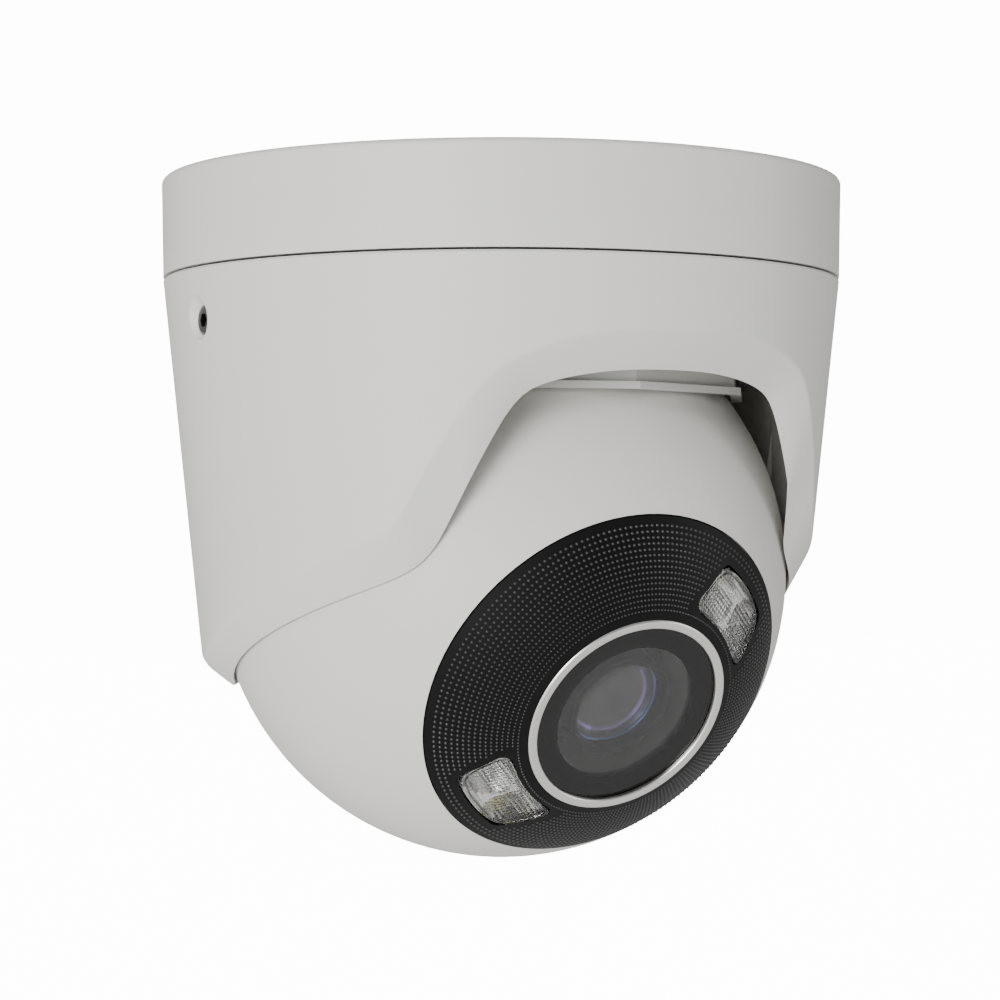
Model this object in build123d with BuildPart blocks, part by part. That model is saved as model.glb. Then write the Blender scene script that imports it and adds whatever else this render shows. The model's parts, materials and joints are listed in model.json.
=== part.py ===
from build123d import *
import math
import os

os.makedirs("parts", exist_ok=True)

# A ceiling camera: a base, a turret that pans on it, a tilting cradle and a ball that rolls in it.
# The origin is the centre of the ceiling face, +Z points up into the ceiling, and -Y is the front.
# All sizes are in millimetres and all angles in degrees.

# ---------------------------------------------------------------- driving dimensions
base_radius = 55.0
base_height = 15.8
base_wall = 2.6
base_draft = 0.26
base_floor = 2.6

seam_gap = 0.35
cover_taper = 0.104
cover_wall = 2.4
cover_corner_z = -77.5
cover_bottom_z = -81.4
cover_inner_radius = 48.7
cover_shelf_z = -29.0
seal_outer = 53.6
seal_depth = 1.2
lock_hole_radius = 2.3
lock_recess_radius = 3.5
lock_recess_depth = 1.0

ball_radius = 46.15
ball_centre_z = -63.15
ball_wall = 2.2
ball_gap = 0.5
lens_dip = 29.5

bolt_circle_radius = 44.0
bolt_hole_radius = 2.3
cable_hole_radius = 9.0

lock_screw_z = -24.2
trunnion_radius = 2.4
trunnion_reach = 49.4
running_clearance = 0.06
fit_gap = 0.1
contact_gap = 0.02
seat_gap = 0.05

# screws: head radius, head height, shank radius and shank length
pan_screw = (1.6, 1.2, 0.8, 7.5)
shell_screw = (2.0, 1.6, 1.15, 12.0)
retainer_screw = (1.8, 1.2, 0.82, 5.2)
hatch_screw = (0.95, 0.9, 0.75, 2.6)
led_screw = (1.5, 1.1, 0.75, 5.2)
board_screw = (1.6, 1.2, 0.8, 5.0)
socket_share = 0.55
socket_depth_share = 0.6

cone_top_z = -(base_height + seam_gap)
cone_top_radius = base_radius - base_draft
socket_radius = ball_radius + ball_gap

# ---------------------------------------------------------------- shared planes and helpers
dip = math.radians(lens_dip)
ball_centre = (0, 0, ball_centre_z)
lens_direction = (0, -math.cos(dip), -math.sin(dip))
under_direction = (0, math.sin(dip), -math.cos(dip))
lens_axis = Axis(ball_centre, lens_direction)
# lens_plane: x to the side, y up the face, z out along the lens
lens_plane = Plane(ball_centre, x_dir=(1, 0, 0), z_dir=lens_direction)
# lens_section: x is the distance from the lens axis and y the distance along it
lens_section = Plane(ball_centre, x_dir=(1, 0, 0), z_dir=under_direction)
# side_plane: x back along the lens axis, seen from +X
side_plane = Plane(ball_centre, x_dir=(0, math.cos(dip), math.sin(dip)), z_dir=(1, 0, 0))


def cone_radius(z):
    """Outer radius of the cover at a height."""
    return cone_top_radius + cover_taper * (z - cone_top_z)


def on_sphere(radius, along):
    """Point of a sphere about the ball centre, in the lens section."""
    return (math.sqrt(radius**2 - along**2), along)


def sphere_arc(radius, start, end):
    """Arc of the lens section from one distance along the axis to another."""
    middle = (start + end) / 2
    return ThreePointArc(on_sphere(radius, start), on_sphere(radius, middle), on_sphere(radius, end))


def around(radius, angles, along=0.0):
    """Planes parallel to the lens face, on a circle about the lens axis."""
    spots = []
    for angle in angles:
        turn = math.radians(angle)
        spot = lens_plane.from_local_coords((radius * math.cos(turn), radius * math.sin(turn), along))
        spots.append(Plane(spot, x_dir=(1, 0, 0), z_dir=lens_direction))
    return spots


def turned_over(planes):
    """The same planes, facing the other way."""
    return [Plane(p.origin, x_dir=p.x_dir, z_dir=-p.z_dir) for p in planes]


def make_screws(planes, head_radius, head_height, shank_radius, shank_length):
    """Socket screws: each plane is under a head and points out of its top."""
    socket_radius_in_head = head_radius * socket_share
    with BuildPart() as screws:
        with BuildSketch(*planes):
            Circle(head_radius)
        extrude(amount=head_height)
        with BuildSketch(*planes):
            Circle(shank_radius)
        extrude(amount=-shank_length)
        with BuildSketch(*[p.offset(head_height) for p in planes]):
            RegularPolygon(socket_radius_in_head, side_count=6)
        extrude(amount=-head_height * socket_depth_share, mode=Mode.SUBTRACT)
    return screws


def make_block(centre_x, centre_y, width, height, start, thickness):
    """A box on the lens axis frame: its centre, its two sides, where it starts and how deep it is."""
    with BuildPart() as block:
        with BuildSketch(lens_plane.offset(start)):
            with Locations((centre_x, centre_y)):
                Rectangle(width, height)
        extrude(amount=thickness)
    return block


def save(piece, name):
    piece.part.label = name
    export_step(piece.part, f"parts/{name}.step")


# ---------------------------------------------------------------- mounting base (fixed)
hub_bore = 13.0
hub_radius = 18.96
hub_end_z = -10.6
shoulder_radius = 24.0
shoulder_z = -8.25
bolt_boss_radius = 5.0
bolt_boss_z = -3.8
bolt_boss_height = 2.0
base_edge_fillet = 1.0
retainer_screw_hole_depth = 6.5
gasket_inner = 48.0
gasket_outer = 51.0
gasket_depth = 1.0
retainer_screw_circle = 16.0
retainer_screw_radius = 0.8

with BuildPart() as mounting_base:
    with BuildSketch(Plane.XZ):
        with BuildLine():
            Polyline(
                (cable_hole_radius, 0),
                (base_radius, 0),
                (base_radius - base_draft, -base_height),
                (base_radius - base_wall, -base_height),
                (base_radius - base_wall, -base_floor),
                (shoulder_radius, -base_floor),
                (shoulder_radius, shoulder_z),
                (hub_radius, shoulder_z),
                (hub_radius, hub_end_z),
                (hub_bore, hub_end_z),
                (hub_bore, -base_floor),
                (cable_hole_radius, -base_floor),
                close=True,
            )
        make_face()
    revolve(axis=Axis.Z)
    outer_rim = mounting_base.edges().filter_by(GeomType.CIRCLE).sort_by(SortBy.RADIUS)[-1]
    fillet(outer_rim, radius=base_edge_fillet)
    with BuildSketch(Plane.XY.offset(bolt_boss_z)):
        with PolarLocations(bolt_circle_radius, 3, start_angle=90):
            Circle(bolt_boss_radius)
    extrude(amount=bolt_boss_height)
    with BuildSketch(Plane.XY):
        with PolarLocations(bolt_circle_radius, 3, start_angle=90):
            Circle(bolt_hole_radius)
    extrude(amount=bolt_boss_z, mode=Mode.SUBTRACT)
    with BuildSketch(Plane.XY):
        Circle(gasket_outer)
        Circle(gasket_inner, mode=Mode.SUBTRACT)
    extrude(amount=-gasket_depth, mode=Mode.SUBTRACT)
    with BuildSketch(Plane.XY.offset(hub_end_z)):
        with PolarLocations(retainer_screw_circle, 4, start_angle=45):
            Circle(retainer_screw_radius)
    extrude(amount=retainer_screw_hole_depth, mode=Mode.SUBTRACT)
save(mounting_base, "mounting_base")

with BuildPart() as ceiling_gasket:
    with BuildSketch(Plane.XY):
        Circle(gasket_outer - fit_gap)
        Circle(gasket_inner + fit_gap, mode=Mode.SUBTRACT)
    extrude(amount=-gasket_depth)
save(ceiling_gasket, "ceiling_gasket")

# ---------------------------------------------------------------- pan bearing (fixed to the base)
retainer_radius = 24.5
retainer_thickness = 1.8
washer_thickness = 0.2

with BuildPart() as pan_retainer:
    with BuildSketch(Plane.XY.offset(hub_end_z)):
        Circle(retainer_radius)
        Circle(hub_bore, mode=Mode.SUBTRACT)
        with PolarLocations(retainer_screw_circle, 4, start_angle=45):
            Circle(retainer_screw_radius + fit_gap, mode=Mode.SUBTRACT)
    extrude(amount=-retainer_thickness)
save(pan_retainer, "pan_retainer")

with BuildPart() as pan_friction_washer:
    with BuildSketch(Plane.XY.offset(hub_end_z)):
        Circle(retainer_radius - 0.5)
        Circle(hub_radius + fit_gap, mode=Mode.SUBTRACT)
    extrude(amount=washer_thickness)
save(pan_friction_washer, "pan_friction_washer")

pan_screw_planes = []
for screw_turn in (45, 135, 225, 315):
    screw_x = retainer_screw_circle * math.cos(math.radians(screw_turn))
    screw_y = retainer_screw_circle * math.sin(math.radians(screw_turn))
    screw_spot = (screw_x, screw_y, hub_end_z - retainer_thickness)
    pan_screw_planes.append(Plane(screw_spot, x_dir=(1, 0, 0), z_dir=(0, 0, -1)))
pan_retainer_screws = make_screws(pan_screw_planes, *pan_screw)
save(pan_retainer_screws, "pan_retainer_screws")

# ---------------------------------------------------------------- turret chassis (pans)
chassis_top_z = -8.3
chassis_thickness = 2.0
chassis_radius = 47.0
skirt_apothem = 38.0
skirt_wall = 1.4
lip_apothem = 39.0
lip_width = 1.7
lip_bottom_z = -35.1
lip_thickness = 1.1
skirt_sides = 10
facet_turn = 360 / skirt_sides / 2
driver_hole_radius = 3.6
lug_inner = 44.5
lug_outer = 50.2
lug_width = 12.0
lock_screw_radius = 1.95
lock_screw_length = 8.0
lock_socket_radius = 1.15
lock_socket_depth = 2.0


def decagon(apothem, mode=Mode.ADD):
    """Ten-sided outline with one side square to the front."""
    RegularPolygon(apothem, skirt_sides, major_radius=False, rotation=facet_turn, mode=mode)


with BuildPart() as turret_chassis:
    with BuildSketch(Plane.XY.offset(chassis_top_z)):
        Circle(chassis_radius)
        Circle(hub_radius + running_clearance, mode=Mode.SUBTRACT)
    extrude(amount=-chassis_thickness)
    with BuildSketch(Plane.XY.offset(chassis_top_z)):
        decagon(skirt_apothem)
        decagon(skirt_apothem - skirt_wall, mode=Mode.SUBTRACT)
    extrude(amount=lip_bottom_z + lip_thickness - chassis_top_z)
    with BuildSketch(Plane.XY.offset(lip_bottom_z)):
        decagon(lip_apothem)
        decagon(lip_apothem - lip_width, mode=Mode.SUBTRACT)
    extrude(amount=lip_thickness)
    with BuildSketch(Plane.XY.offset(chassis_top_z)):
        with PolarLocations((lug_inner + lug_outer) / 2, 2):
            Rectangle(lug_outer - lug_inner, lug_width)
    extrude(amount=cover_shelf_z + 0.3 - chassis_top_z)
    with BuildSketch(Plane.XY.offset(chassis_top_z)):
        with PolarLocations(bolt_circle_radius, 3, start_angle=90):
            Circle(driver_hole_radius)
    extrude(amount=-chassis_thickness, mode=Mode.SUBTRACT)
    with BuildSketch(Plane.YZ):
        with Locations((0, lock_screw_z)):
            Circle(lock_screw_radius + seat_gap)
    extrude(amount=lug_outer + 1, both=True, mode=Mode.SUBTRACT)
save(turret_chassis, "turret_chassis")

# ---------------------------------------------------------------- cover shell (pans)
crown_z = -27.0
crown_width = 6.4
# each edge of the opening: bow, corner angle, flare, level of the tilted cut, its tilt and the blend
outer_rim_shape = (0.00109, 32.5, 0.73, -70.4, 21.0, 0.8)
inner_rim_shape = (0.00088, 27.9, 1.24, -75.0, 16.2, 3.5)
corner_softness = 1.5
rim_step = 3
rim_reach_out = 2.5
rim_reach_in = 1.0
keeper_outer = 62.0
keeper_top_z = -14.22
cover_corner_fillet = 1.6
socket_lip = 0.6
pin_socket_depth = 3.0
cheek_start_z = -49.0
cheek_top_z = -59.0
ear_room_start = 81.0
ear_room_radius = 48.25
ear_room_top_z = -50.0
ear_room_floor_z = -69.25
blank_bore = 36.0


def upright_section(angle):
    """Vertical plane through the pan axis, turned from the front by an angle."""
    turn = math.radians(angle - 90)
    return Plane(
        (0, 0, 0),
        x_dir=(math.cos(turn), math.sin(turn), 0),
        z_dir=(math.sin(turn), -math.cos(turn), 0),
    )


def soft_step(angle, corner, softness):
    """Zero before the corner and a straight rise after it, with a rounded join."""
    return softness * math.log(1 + math.exp((angle - corner) / softness))


def soft_max(first, second, blend):
    """The larger of two heights, with a fillet where they cross."""
    return (first + second) / 2 + math.sqrt((first - second) ** 2 / 4 + blend**2)


def rim_height(angle, crown, bow, corner, flare, level, tilt, blend):
    """Height of one edge of the opening: an arch over the front, running into a tilted cut."""
    turn = abs(angle)
    arch = crown - bow * turn**2.5 - flare * soft_step(turn, corner, corner_softness)
    slope = level + tilt * math.cos(math.radians(turn))
    return soft_max(arch, slope, blend)


def wall_inside(z):
    """Inner radius of the cover: a bore above, a cone below it and then the ball socket."""
    if z > cheek_start_z:
        return cover_inner_radius
    cheek_top_radius = on_sphere(socket_radius, cheek_top_z - ball_centre_z)[0]
    if z > cheek_top_z:
        share = (cheek_start_z - z) / (cheek_start_z - cheek_top_z)
        return cover_inner_radius + share * (cheek_top_radius - cover_inner_radius)
    return on_sphere(socket_radius, z - ball_centre_z)[0]


def keeper_profile(angle):
    """Upright section, at an angle from the front, of the space that lies above the opening's face."""
    outer_z = rim_height(angle, crown_z, *outer_rim_shape)
    inner_z = rim_height(angle, crown_z - crown_width, *inner_rim_shape)
    outer_radius = cone_radius(max(outer_z, cover_corner_z))
    inner_radius = wall_inside(inner_z)
    fall = (outer_z - inner_z) / (outer_radius - inner_radius)
    low_z = inner_z - rim_reach_in * fall
    high_z = outer_z + rim_reach_out * fall
    return [
        (keeper_outer, keeper_top_z),
        (blank_bore, keeper_top_z),
        (blank_bore, low_z),
        (inner_radius - rim_reach_in, low_z),
        (outer_radius + rim_reach_out, high_z),
        (keeper_outer, high_z),
    ]


socket_start = (on_sphere(socket_radius, cheek_top_z - ball_centre_z)[0], cheek_top_z)
socket_end = (on_sphere(socket_radius, cover_bottom_z - ball_centre_z)[0], cover_bottom_z)

# the space above the opening's face, one half lofted through upright sections and then mirrored
with BuildPart() as keeper:
    for angle in range(0, 181, rim_step):
        with BuildSketch(upright_section(angle)):
            with BuildLine():
                Polyline(*keeper_profile(angle), close=True)
            make_face()
    loft(ruled=True)
    mirror(about=Plane.YZ)

with BuildPart() as cover_shell:
    with BuildSketch(Plane.XZ):
        with BuildLine():
            Polyline(
                socket_end,
                (socket_end[0] + socket_lip, cover_bottom_z),
                (cone_radius(cover_corner_z), cover_corner_z),
                (cone_top_radius, cone_top_z),
                (seal_outer + fit_gap, cone_top_z),
                (seal_outer + fit_gap, cone_top_z - seal_depth),
                (cone_top_radius - cover_wall, cone_top_z - seal_depth),
                (cone_radius(cover_shelf_z) - cover_wall, cover_shelf_z),
                (cover_inner_radius, cover_shelf_z),
                (cover_inner_radius, cheek_start_z),
                socket_start,
            )
            ThreePointArc(socket_start, (socket_radius, ball_centre_z), socket_end)
        make_face()
    revolve(axis=Axis.Z)
    corner_edge = cover_shell.edges().filter_by(GeomType.CIRCLE).sort_by(
        lambda e: abs(e.radius - cone_radius(cover_corner_z))
    )[0]
    fillet(corner_edge, radius=cover_corner_fillet)
    add(keeper.part, mode=Mode.INTERSECT)
    # room for the cradle's ears behind the two cheeks
    room_floor = on_sphere(ear_room_radius, ear_room_floor_z - ball_centre_z)[0]
    room_top = on_sphere(ear_room_radius, ear_room_top_z - ball_centre_z)[0]
    with BuildSketch(upright_section(ear_room_start)):
        with BuildLine():
            Polyline(
                (room_floor, ear_room_floor_z),
                (blank_bore, ear_room_floor_z),
                (blank_bore, ear_room_top_z),
                (room_top, ear_room_top_z),
            )
            ThreePointArc(
                (room_top, ear_room_top_z),
                (ear_room_radius, ball_centre_z),
                (room_floor, ear_room_floor_z),
            )
        make_face()
    revolve(axis=Axis.Z, revolution_arc=360 - 2 * ear_room_start, mode=Mode.SUBTRACT)
    with BuildSketch(Plane.YZ):
        with Locations((0, lock_screw_z)):
            Circle(lock_hole_radius)
    extrude(amount=base_radius, both=True, mode=Mode.SUBTRACT)
    for side in (1, -1):
        recess_mouth = side * (cone_radius(lock_screw_z) + fit_gap)
        recess_floor = side * (cone_radius(lock_screw_z) - lock_recess_depth)
        with BuildSketch(Plane.YZ.offset(recess_mouth)):
            with Locations((0, lock_screw_z)):
                Circle(lock_recess_radius)
        with BuildSketch(Plane.YZ.offset(recess_floor)):
            with Locations((0, lock_screw_z)):
                Circle(lock_hole_radius)
        loft(mode=Mode.SUBTRACT)
        with BuildSketch(Plane.YZ.offset(side * (trunnion_reach + 2 * fit_gap))):
            with Locations((0, ball_centre_z)):
                Circle(trunnion_radius + running_clearance)
        extrude(amount=-side * pin_socket_depth, mode=Mode.SUBTRACT)
save(cover_shell, "cover_shell")

with BuildPart() as seam_seal:
    with BuildSketch(Plane.XY.offset(-base_height - seat_gap)):
        Circle(seal_outer)
        Circle(cone_top_radius - cover_wall + 2 * fit_gap, mode=Mode.SUBTRACT)
    extrude(amount=-(seam_gap + seal_depth - seat_gap))
save(seam_seal, "seam_seal")

lock_screw_planes = []
for side in (1, -1):
    screw_end = side * (cone_radius(lock_screw_z) - lock_recess_depth + fit_gap)
    lock_screw_planes.append(Plane((screw_end, 0, lock_screw_z), x_dir=(0, 1, 0), z_dir=(side, 0, 0)))
with BuildPart() as cover_lock_screws:
    with BuildSketch(*lock_screw_planes):
        Circle(lock_screw_radius)
    extrude(amount=-lock_screw_length)
    with BuildSketch(*lock_screw_planes):
        RegularPolygon(lock_socket_radius, side_count=6)
    extrude(amount=-lock_socket_depth, mode=Mode.SUBTRACT)
save(cover_lock_screws, "cover_lock_screws")

# ---------------------------------------------------------------- tilting cradle (tilts in the turret)
cradle_front = -9.2
cradle_rear = -24.0
cradle_outer = 46.1
cradle_inner = 42.4
ear_inner = 46.5
ear_outer = 47.9
ear_radius = 6.0
ear_length = 17.0

with BuildPart() as trunnion_ears:
    with Locations(ball_centre):
        Sphere(ear_outer)
        Sphere(ear_inner, mode=Mode.SUBTRACT)
    with BuildSketch(side_plane):
        Circle(ear_radius)
        with Locations((ear_length / 2, 0)):
            Rectangle(ear_length, 2 * ear_radius)
    extrude(amount=base_radius, both=True, mode=Mode.INTERSECT)

with BuildPart() as ear_roots:
    with Locations(ball_centre):
        Sphere(ear_outer)
        Sphere((cradle_inner + cradle_outer) / 2, mode=Mode.SUBTRACT)
    with BuildSketch(side_plane):
        with Locations(((ear_length - cradle_front + 2 * fit_gap) / 2, 0)):
            Rectangle(ear_length + cradle_front - 2 * fit_gap, 2 * ear_radius)
    extrude(amount=base_radius, both=True, mode=Mode.INTERSECT)

with BuildPart() as tilt_cradle:
    with BuildSketch(lens_section):
        with BuildLine():
            sphere_arc(cradle_outer, cradle_front, cradle_rear)
            Line(on_sphere(cradle_outer, cradle_rear), on_sphere(cradle_inner, cradle_rear))
            sphere_arc(cradle_inner, cradle_rear, cradle_front)
            Line(on_sphere(cradle_inner, cradle_front), on_sphere(cradle_outer, cradle_front))
        make_face()
    revolve(axis=lens_axis)
    add(ear_roots.part)
    add(trunnion_ears.part)
    with BuildSketch(side_plane):
        Circle(trunnion_radius)
    extrude(amount=base_radius, both=True, mode=Mode.SUBTRACT)
save(tilt_cradle, "tilt_cradle")

with BuildPart() as trunnion_pins:
    for side in (1, -1):
        with BuildSketch(side_plane.offset(side * (ear_inner + fit_gap))):
            Circle(trunnion_radius)
        extrude(amount=side * (trunnion_reach - ear_inner - fit_gap))
save(trunnion_pins, "trunnion_pins")

# ---------------------------------------------------------------- ball: front shell and rear housing
face_opening = 30.3
face_seat = 33.4
face_seat_depth = 1.6
face_seat_inner = 27.5
shell_inner = ball_radius - ball_wall
shell_rear = -8.0
screw_angles = (45, 135, 225, 315)
shell_screw_seat = -9.5
shell_boss_start = -2.8
shell_boss_length = 10.0
hatch_screw_pitch = 27.0
shell_boss_circle = 36.6
shell_boss_radius = 2.8
hatch_centre = (2.0, 6.5)
hatch_width = 32.0
hatch_height = 14.0
hatch_floor = 44.1
hatch_rim = 1.5
hatch_corner = 3.0
hatch_corner_growth = 0.5
hatch_pocket_gap = 0.15
hatch_frame_margin = 2.0
hatch_frame_top = 0.4
hatch_frame_depth = 1.7
hatch_end_rim = -3.0
hatch_seal_thickness = 0.5
hatch_seal_gap = 0.3
hatch_head_depth = 0.9
shell_web_width = 7.0
shell_web_thickness = 2.4
shell_screw_hole_radius = 1.2
shell_screw_hole_start = -3.0
shell_screw_hole_depth = 8.0


def hatch_outline(margin, end_margin=0.0):
    """Rounded outline of the service hatch, grown or shrunk by a margin."""
    with Locations(hatch_centre):
        RectangleRounded(
            hatch_width + 2 * (margin + end_margin),
            hatch_height + 2 * margin,
            hatch_corner + min(margin, hatch_corner_growth),
        )


def hatch_layer(outer, inner, margin, hole_margin=None, hole_end=0.0):
    """A curved plate between two radii about the ball centre, in the hatch's outline."""
    with BuildPart() as layer:
        with Locations(ball_centre):
            Sphere(outer)
            Sphere(inner, mode=Mode.SUBTRACT)
        with BuildSketch(lens_section):
            hatch_outline(margin)
        extrude(amount=base_radius, mode=Mode.INTERSECT)
        if hole_margin is not None:
            with BuildSketch(lens_section):
                hatch_outline(hole_margin, hole_end)
            extrude(amount=base_radius, mode=Mode.SUBTRACT)
    return layer


hatch_pocket = hatch_layer(ball_radius + 1, hatch_floor, hatch_pocket_gap)
hatch_frame = hatch_layer(
    hatch_floor + hatch_frame_top, hatch_floor - hatch_frame_depth, hatch_frame_margin
)

with BuildPart() as front_shell:
    with BuildSketch(lens_section):
        with BuildLine():
            opening_edge = math.sqrt(ball_radius**2 - face_opening**2)
            seat_back = face_seat - face_seat_depth
            sphere_arc(ball_radius, opening_edge, shell_rear)
            Line(on_sphere(ball_radius, shell_rear), on_sphere(shell_inner, shell_rear))
            sphere_arc(shell_inner, shell_rear, seat_back)
            Polyline(
                on_sphere(shell_inner, seat_back),
                (face_seat_inner, seat_back),
                (face_seat_inner, face_seat),
                (face_opening, face_seat),
                (face_opening, opening_edge),
            )
        make_face()
    revolve(axis=lens_axis)
    # bosses for the shell's screws, each with a web to the wall
    with BuildSketch(lens_plane.offset(shell_boss_start)):
        with PolarLocations(shell_boss_circle, 4, start_angle=45):
            Circle(shell_boss_radius)
            with Locations((4.0, 0)):
                Rectangle(shell_web_width, shell_web_thickness)
    extrude(amount=shell_boss_length)
    add(hatch_frame.part)
    add(hatch_pocket.part, mode=Mode.SUBTRACT)
    with BuildSketch(lens_section):
        hatch_outline(-hatch_rim, hatch_end_rim)
    extrude(amount=base_radius, mode=Mode.SUBTRACT)
    with BuildSketch(lens_section):
        with Locations(hatch_centre):
            with GridLocations(hatch_screw_pitch, 1, 2, 1):
                Circle(0.8)
    extrude(amount=base_radius, mode=Mode.SUBTRACT)
    with BuildSketch(lens_plane.offset(shell_screw_hole_start)):
        with PolarLocations(shell_boss_circle, 4, start_angle=45):
            Circle(shell_screw_hole_radius)
    extrude(amount=shell_screw_hole_depth, mode=Mode.SUBTRACT)
save(front_shell, "front_shell")

spigot_radius = 41.5
spigot_inner = 39.0
spigot_front = -3.2
flange_radius = 45.2
flange_front = -8.05
flange_rear = -8.9
housing_radius = 42.2
housing_inner = 39.7
housing_step = -24.3
housing_boss_length = 11.4
through_depth = 25.0
driver_depth = 20.0
shell_seal_offset = 0.97
shell_seal_along = -5.6
shell_seal_section = 0.93
retainer_ring_outer = 36.2
screw_play = 0.18
thread_play = 0.03
housing_neck = 30.0
housing_rear = -34.0
housing_wall = 2.5
gland_hole = 5.2
retainer_circle = 32.3

with BuildPart() as rear_housing:
    with BuildSketch(lens_section):
        with BuildLine():
            inner_step = housing_step + housing_wall
            Polyline(
                (gland_hole, housing_rear),
                (housing_neck, housing_rear),
                (housing_neck, housing_step),
                on_sphere(housing_radius, housing_step),
            )
            sphere_arc(housing_radius, housing_step, flange_rear)
            spigot_foot = -math.sqrt(housing_inner**2 - spigot_inner**2)
            Polyline(
                on_sphere(housing_radius, flange_rear),
                (flange_radius, flange_rear),
                (flange_radius, flange_front),
                (spigot_radius, flange_front),
                (spigot_radius, spigot_front),
                (spigot_inner, spigot_front),
                (spigot_inner, spigot_foot),
            )
            sphere_arc(housing_inner, spigot_foot, inner_step)
            Polyline(
                on_sphere(housing_inner, inner_step),
                (housing_neck - housing_wall, inner_step),
                (housing_neck - housing_wall, housing_rear + housing_wall),
                (gland_hole, housing_rear + housing_wall),
                (gland_hole, housing_rear),
            )
        make_face()
    revolve(axis=lens_axis)
    # bosses for the screws that join the two halves of the ball
    with BuildSketch(lens_plane.offset(spigot_front)):
        with PolarLocations(shell_boss_circle, 4, start_angle=45):
            Circle(shell_boss_radius)
    extrude(amount=-housing_boss_length)
    with BuildSketch(lens_plane.offset(spigot_front)):
        with PolarLocations(shell_boss_circle, 4, start_angle=45):
            Circle(shell_screw[2] + 1.5 * fit_gap)
    extrude(amount=-through_depth, mode=Mode.SUBTRACT)
    with BuildSketch(lens_plane.offset(shell_screw_seat)):
        with PolarLocations(shell_boss_circle, 4, start_angle=45):
            Circle(shell_screw[0] + fit_gap)
    extrude(amount=-driver_depth, mode=Mode.SUBTRACT)
    with BuildSketch(lens_plane.offset(housing_step)):
        with PolarLocations(retainer_circle, 3, start_angle=90):
            Circle(retainer_screw[2] + thread_play)
    extrude(amount=housing_wall + 1, mode=Mode.SUBTRACT)
save(rear_housing, "rear_housing")

with BuildPart() as shell_seal:
    with BuildSketch(lens_section):
        with Locations((spigot_radius + shell_seal_offset, shell_seal_along)):
            Circle(shell_seal_section)
    revolve(axis=lens_axis)
save(shell_seal, "shell_seal")

shell_screws = make_screws(
    turned_over(around(shell_boss_circle, screw_angles, shell_screw_seat)), *shell_screw
)
save(shell_screws, "shell_screws")

retainer_front = housing_step - fit_gap
retainer_depth = 2.8
with BuildPart() as cradle_retainer:
    with BuildSketch(lens_plane.offset(retainer_front)):
        Circle(retainer_ring_outer)
        Circle(housing_neck + fit_gap, mode=Mode.SUBTRACT)
        with PolarLocations(retainer_circle, 3, start_angle=90):
            Circle(retainer_screw[2] + screw_play, mode=Mode.SUBTRACT)
    extrude(amount=-retainer_depth)
save(cradle_retainer, "cradle_retainer")

cradle_retainer_screws = make_screws(
    turned_over(around(retainer_circle, (90, 210, 330), retainer_front - retainer_depth)),
    *retainer_screw,
)
save(cradle_retainer_screws, "cradle_retainer_screws")

with BuildPart() as service_hatch:
    add(hatch_layer(ball_radius - seat_gap, hatch_floor + hatch_seal_thickness, 0.0).part)
    with BuildSketch(lens_section):
        with Locations(hatch_centre):
            with GridLocations(hatch_screw_pitch, 1, 2, 1):
                Circle(1.0)
    extrude(amount=base_radius, mode=Mode.SUBTRACT)
save(service_hatch, "service_hatch")

hatch_gasket = hatch_layer(
    hatch_floor + hatch_seal_thickness, hatch_floor, 0.0, -hatch_rim + hatch_seal_gap, hatch_end_rim
)
with BuildPart() as hatch_seal:
    add(hatch_gasket.part)
    with BuildSketch(lens_section):
        with Locations(hatch_centre):
            with GridLocations(hatch_screw_pitch, 1, 2, 1):
                Circle(1.0)
    extrude(amount=base_radius, mode=Mode.SUBTRACT)
save(hatch_seal, "hatch_seal")

hatch_screw_planes = []
for offset_x in (-1, 1):
    across = hatch_centre[0] + offset_x * hatch_screw_pitch / 2
    depth = math.sqrt(ball_radius**2 - across**2 - hatch_centre[1] ** 2) - hatch_head_depth
    head_spot = lens_section.from_local_coords((across, hatch_centre[1], depth - 0.6))
    hatch_screw_planes.append(Plane(head_spot, x_dir=(1, 0, 0), z_dir=under_direction))
hatch_screws = make_screws(hatch_screw_planes, *hatch_screw)
save(hatch_screws, "hatch_screws")

# ---------------------------------------------------------------- face: bezel, window and LED windows
bezel_radius = 46.2
bezel_inner = 44.2
bezel_edge = 30.1
bezel_back = 33.9
sleeve_outer = 18.35
sleeve_inner = 17.05
ring_outer = 16.8
ring_inner = 15.3
glass_radius = 15.6
ledge_inner_radius = 13.4
ledge_front = 40.0
ledge_back = 38.8
board_front = 32.2
led_window_angles = (45, 225)
led_inner_radius = 19.0
led_outer_radius = 26.9
led_inner_spread = 26.0
led_outer_spread = 14.5
led_corner = 1.5
led_screw_circle = 23.0
led_screw_turns = (110, 160, 290, 340)
led_board_thickness = 1.6
led_post_radius = 2.1
led_post_length = 6.0
lamp_spread = 11
lamp_circle = (led_inner_radius + led_outer_radius) / 2 - 0.3
lamp_cup_foot = 2.3
lamp_cup_mouth = 4.6
lamp_cup_depth = 8.0
glass_back = 41.2
glass_thickness = 1.25
trim_top = 43.3
trim_lip = 42.5
seal_inner = 13.8
seal_thickness = 1.1
baffle_outer = 13.2
baffle_inner = 11.6


def polar_spot(radius, angle):
    """Point of the lens face at a radius and an angle."""
    turn = math.radians(angle)
    return (radius * math.cos(turn), radius * math.sin(turn))


led_screw_spots = [polar_spot(led_screw_circle, turn) for turn in led_screw_turns]


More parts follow.
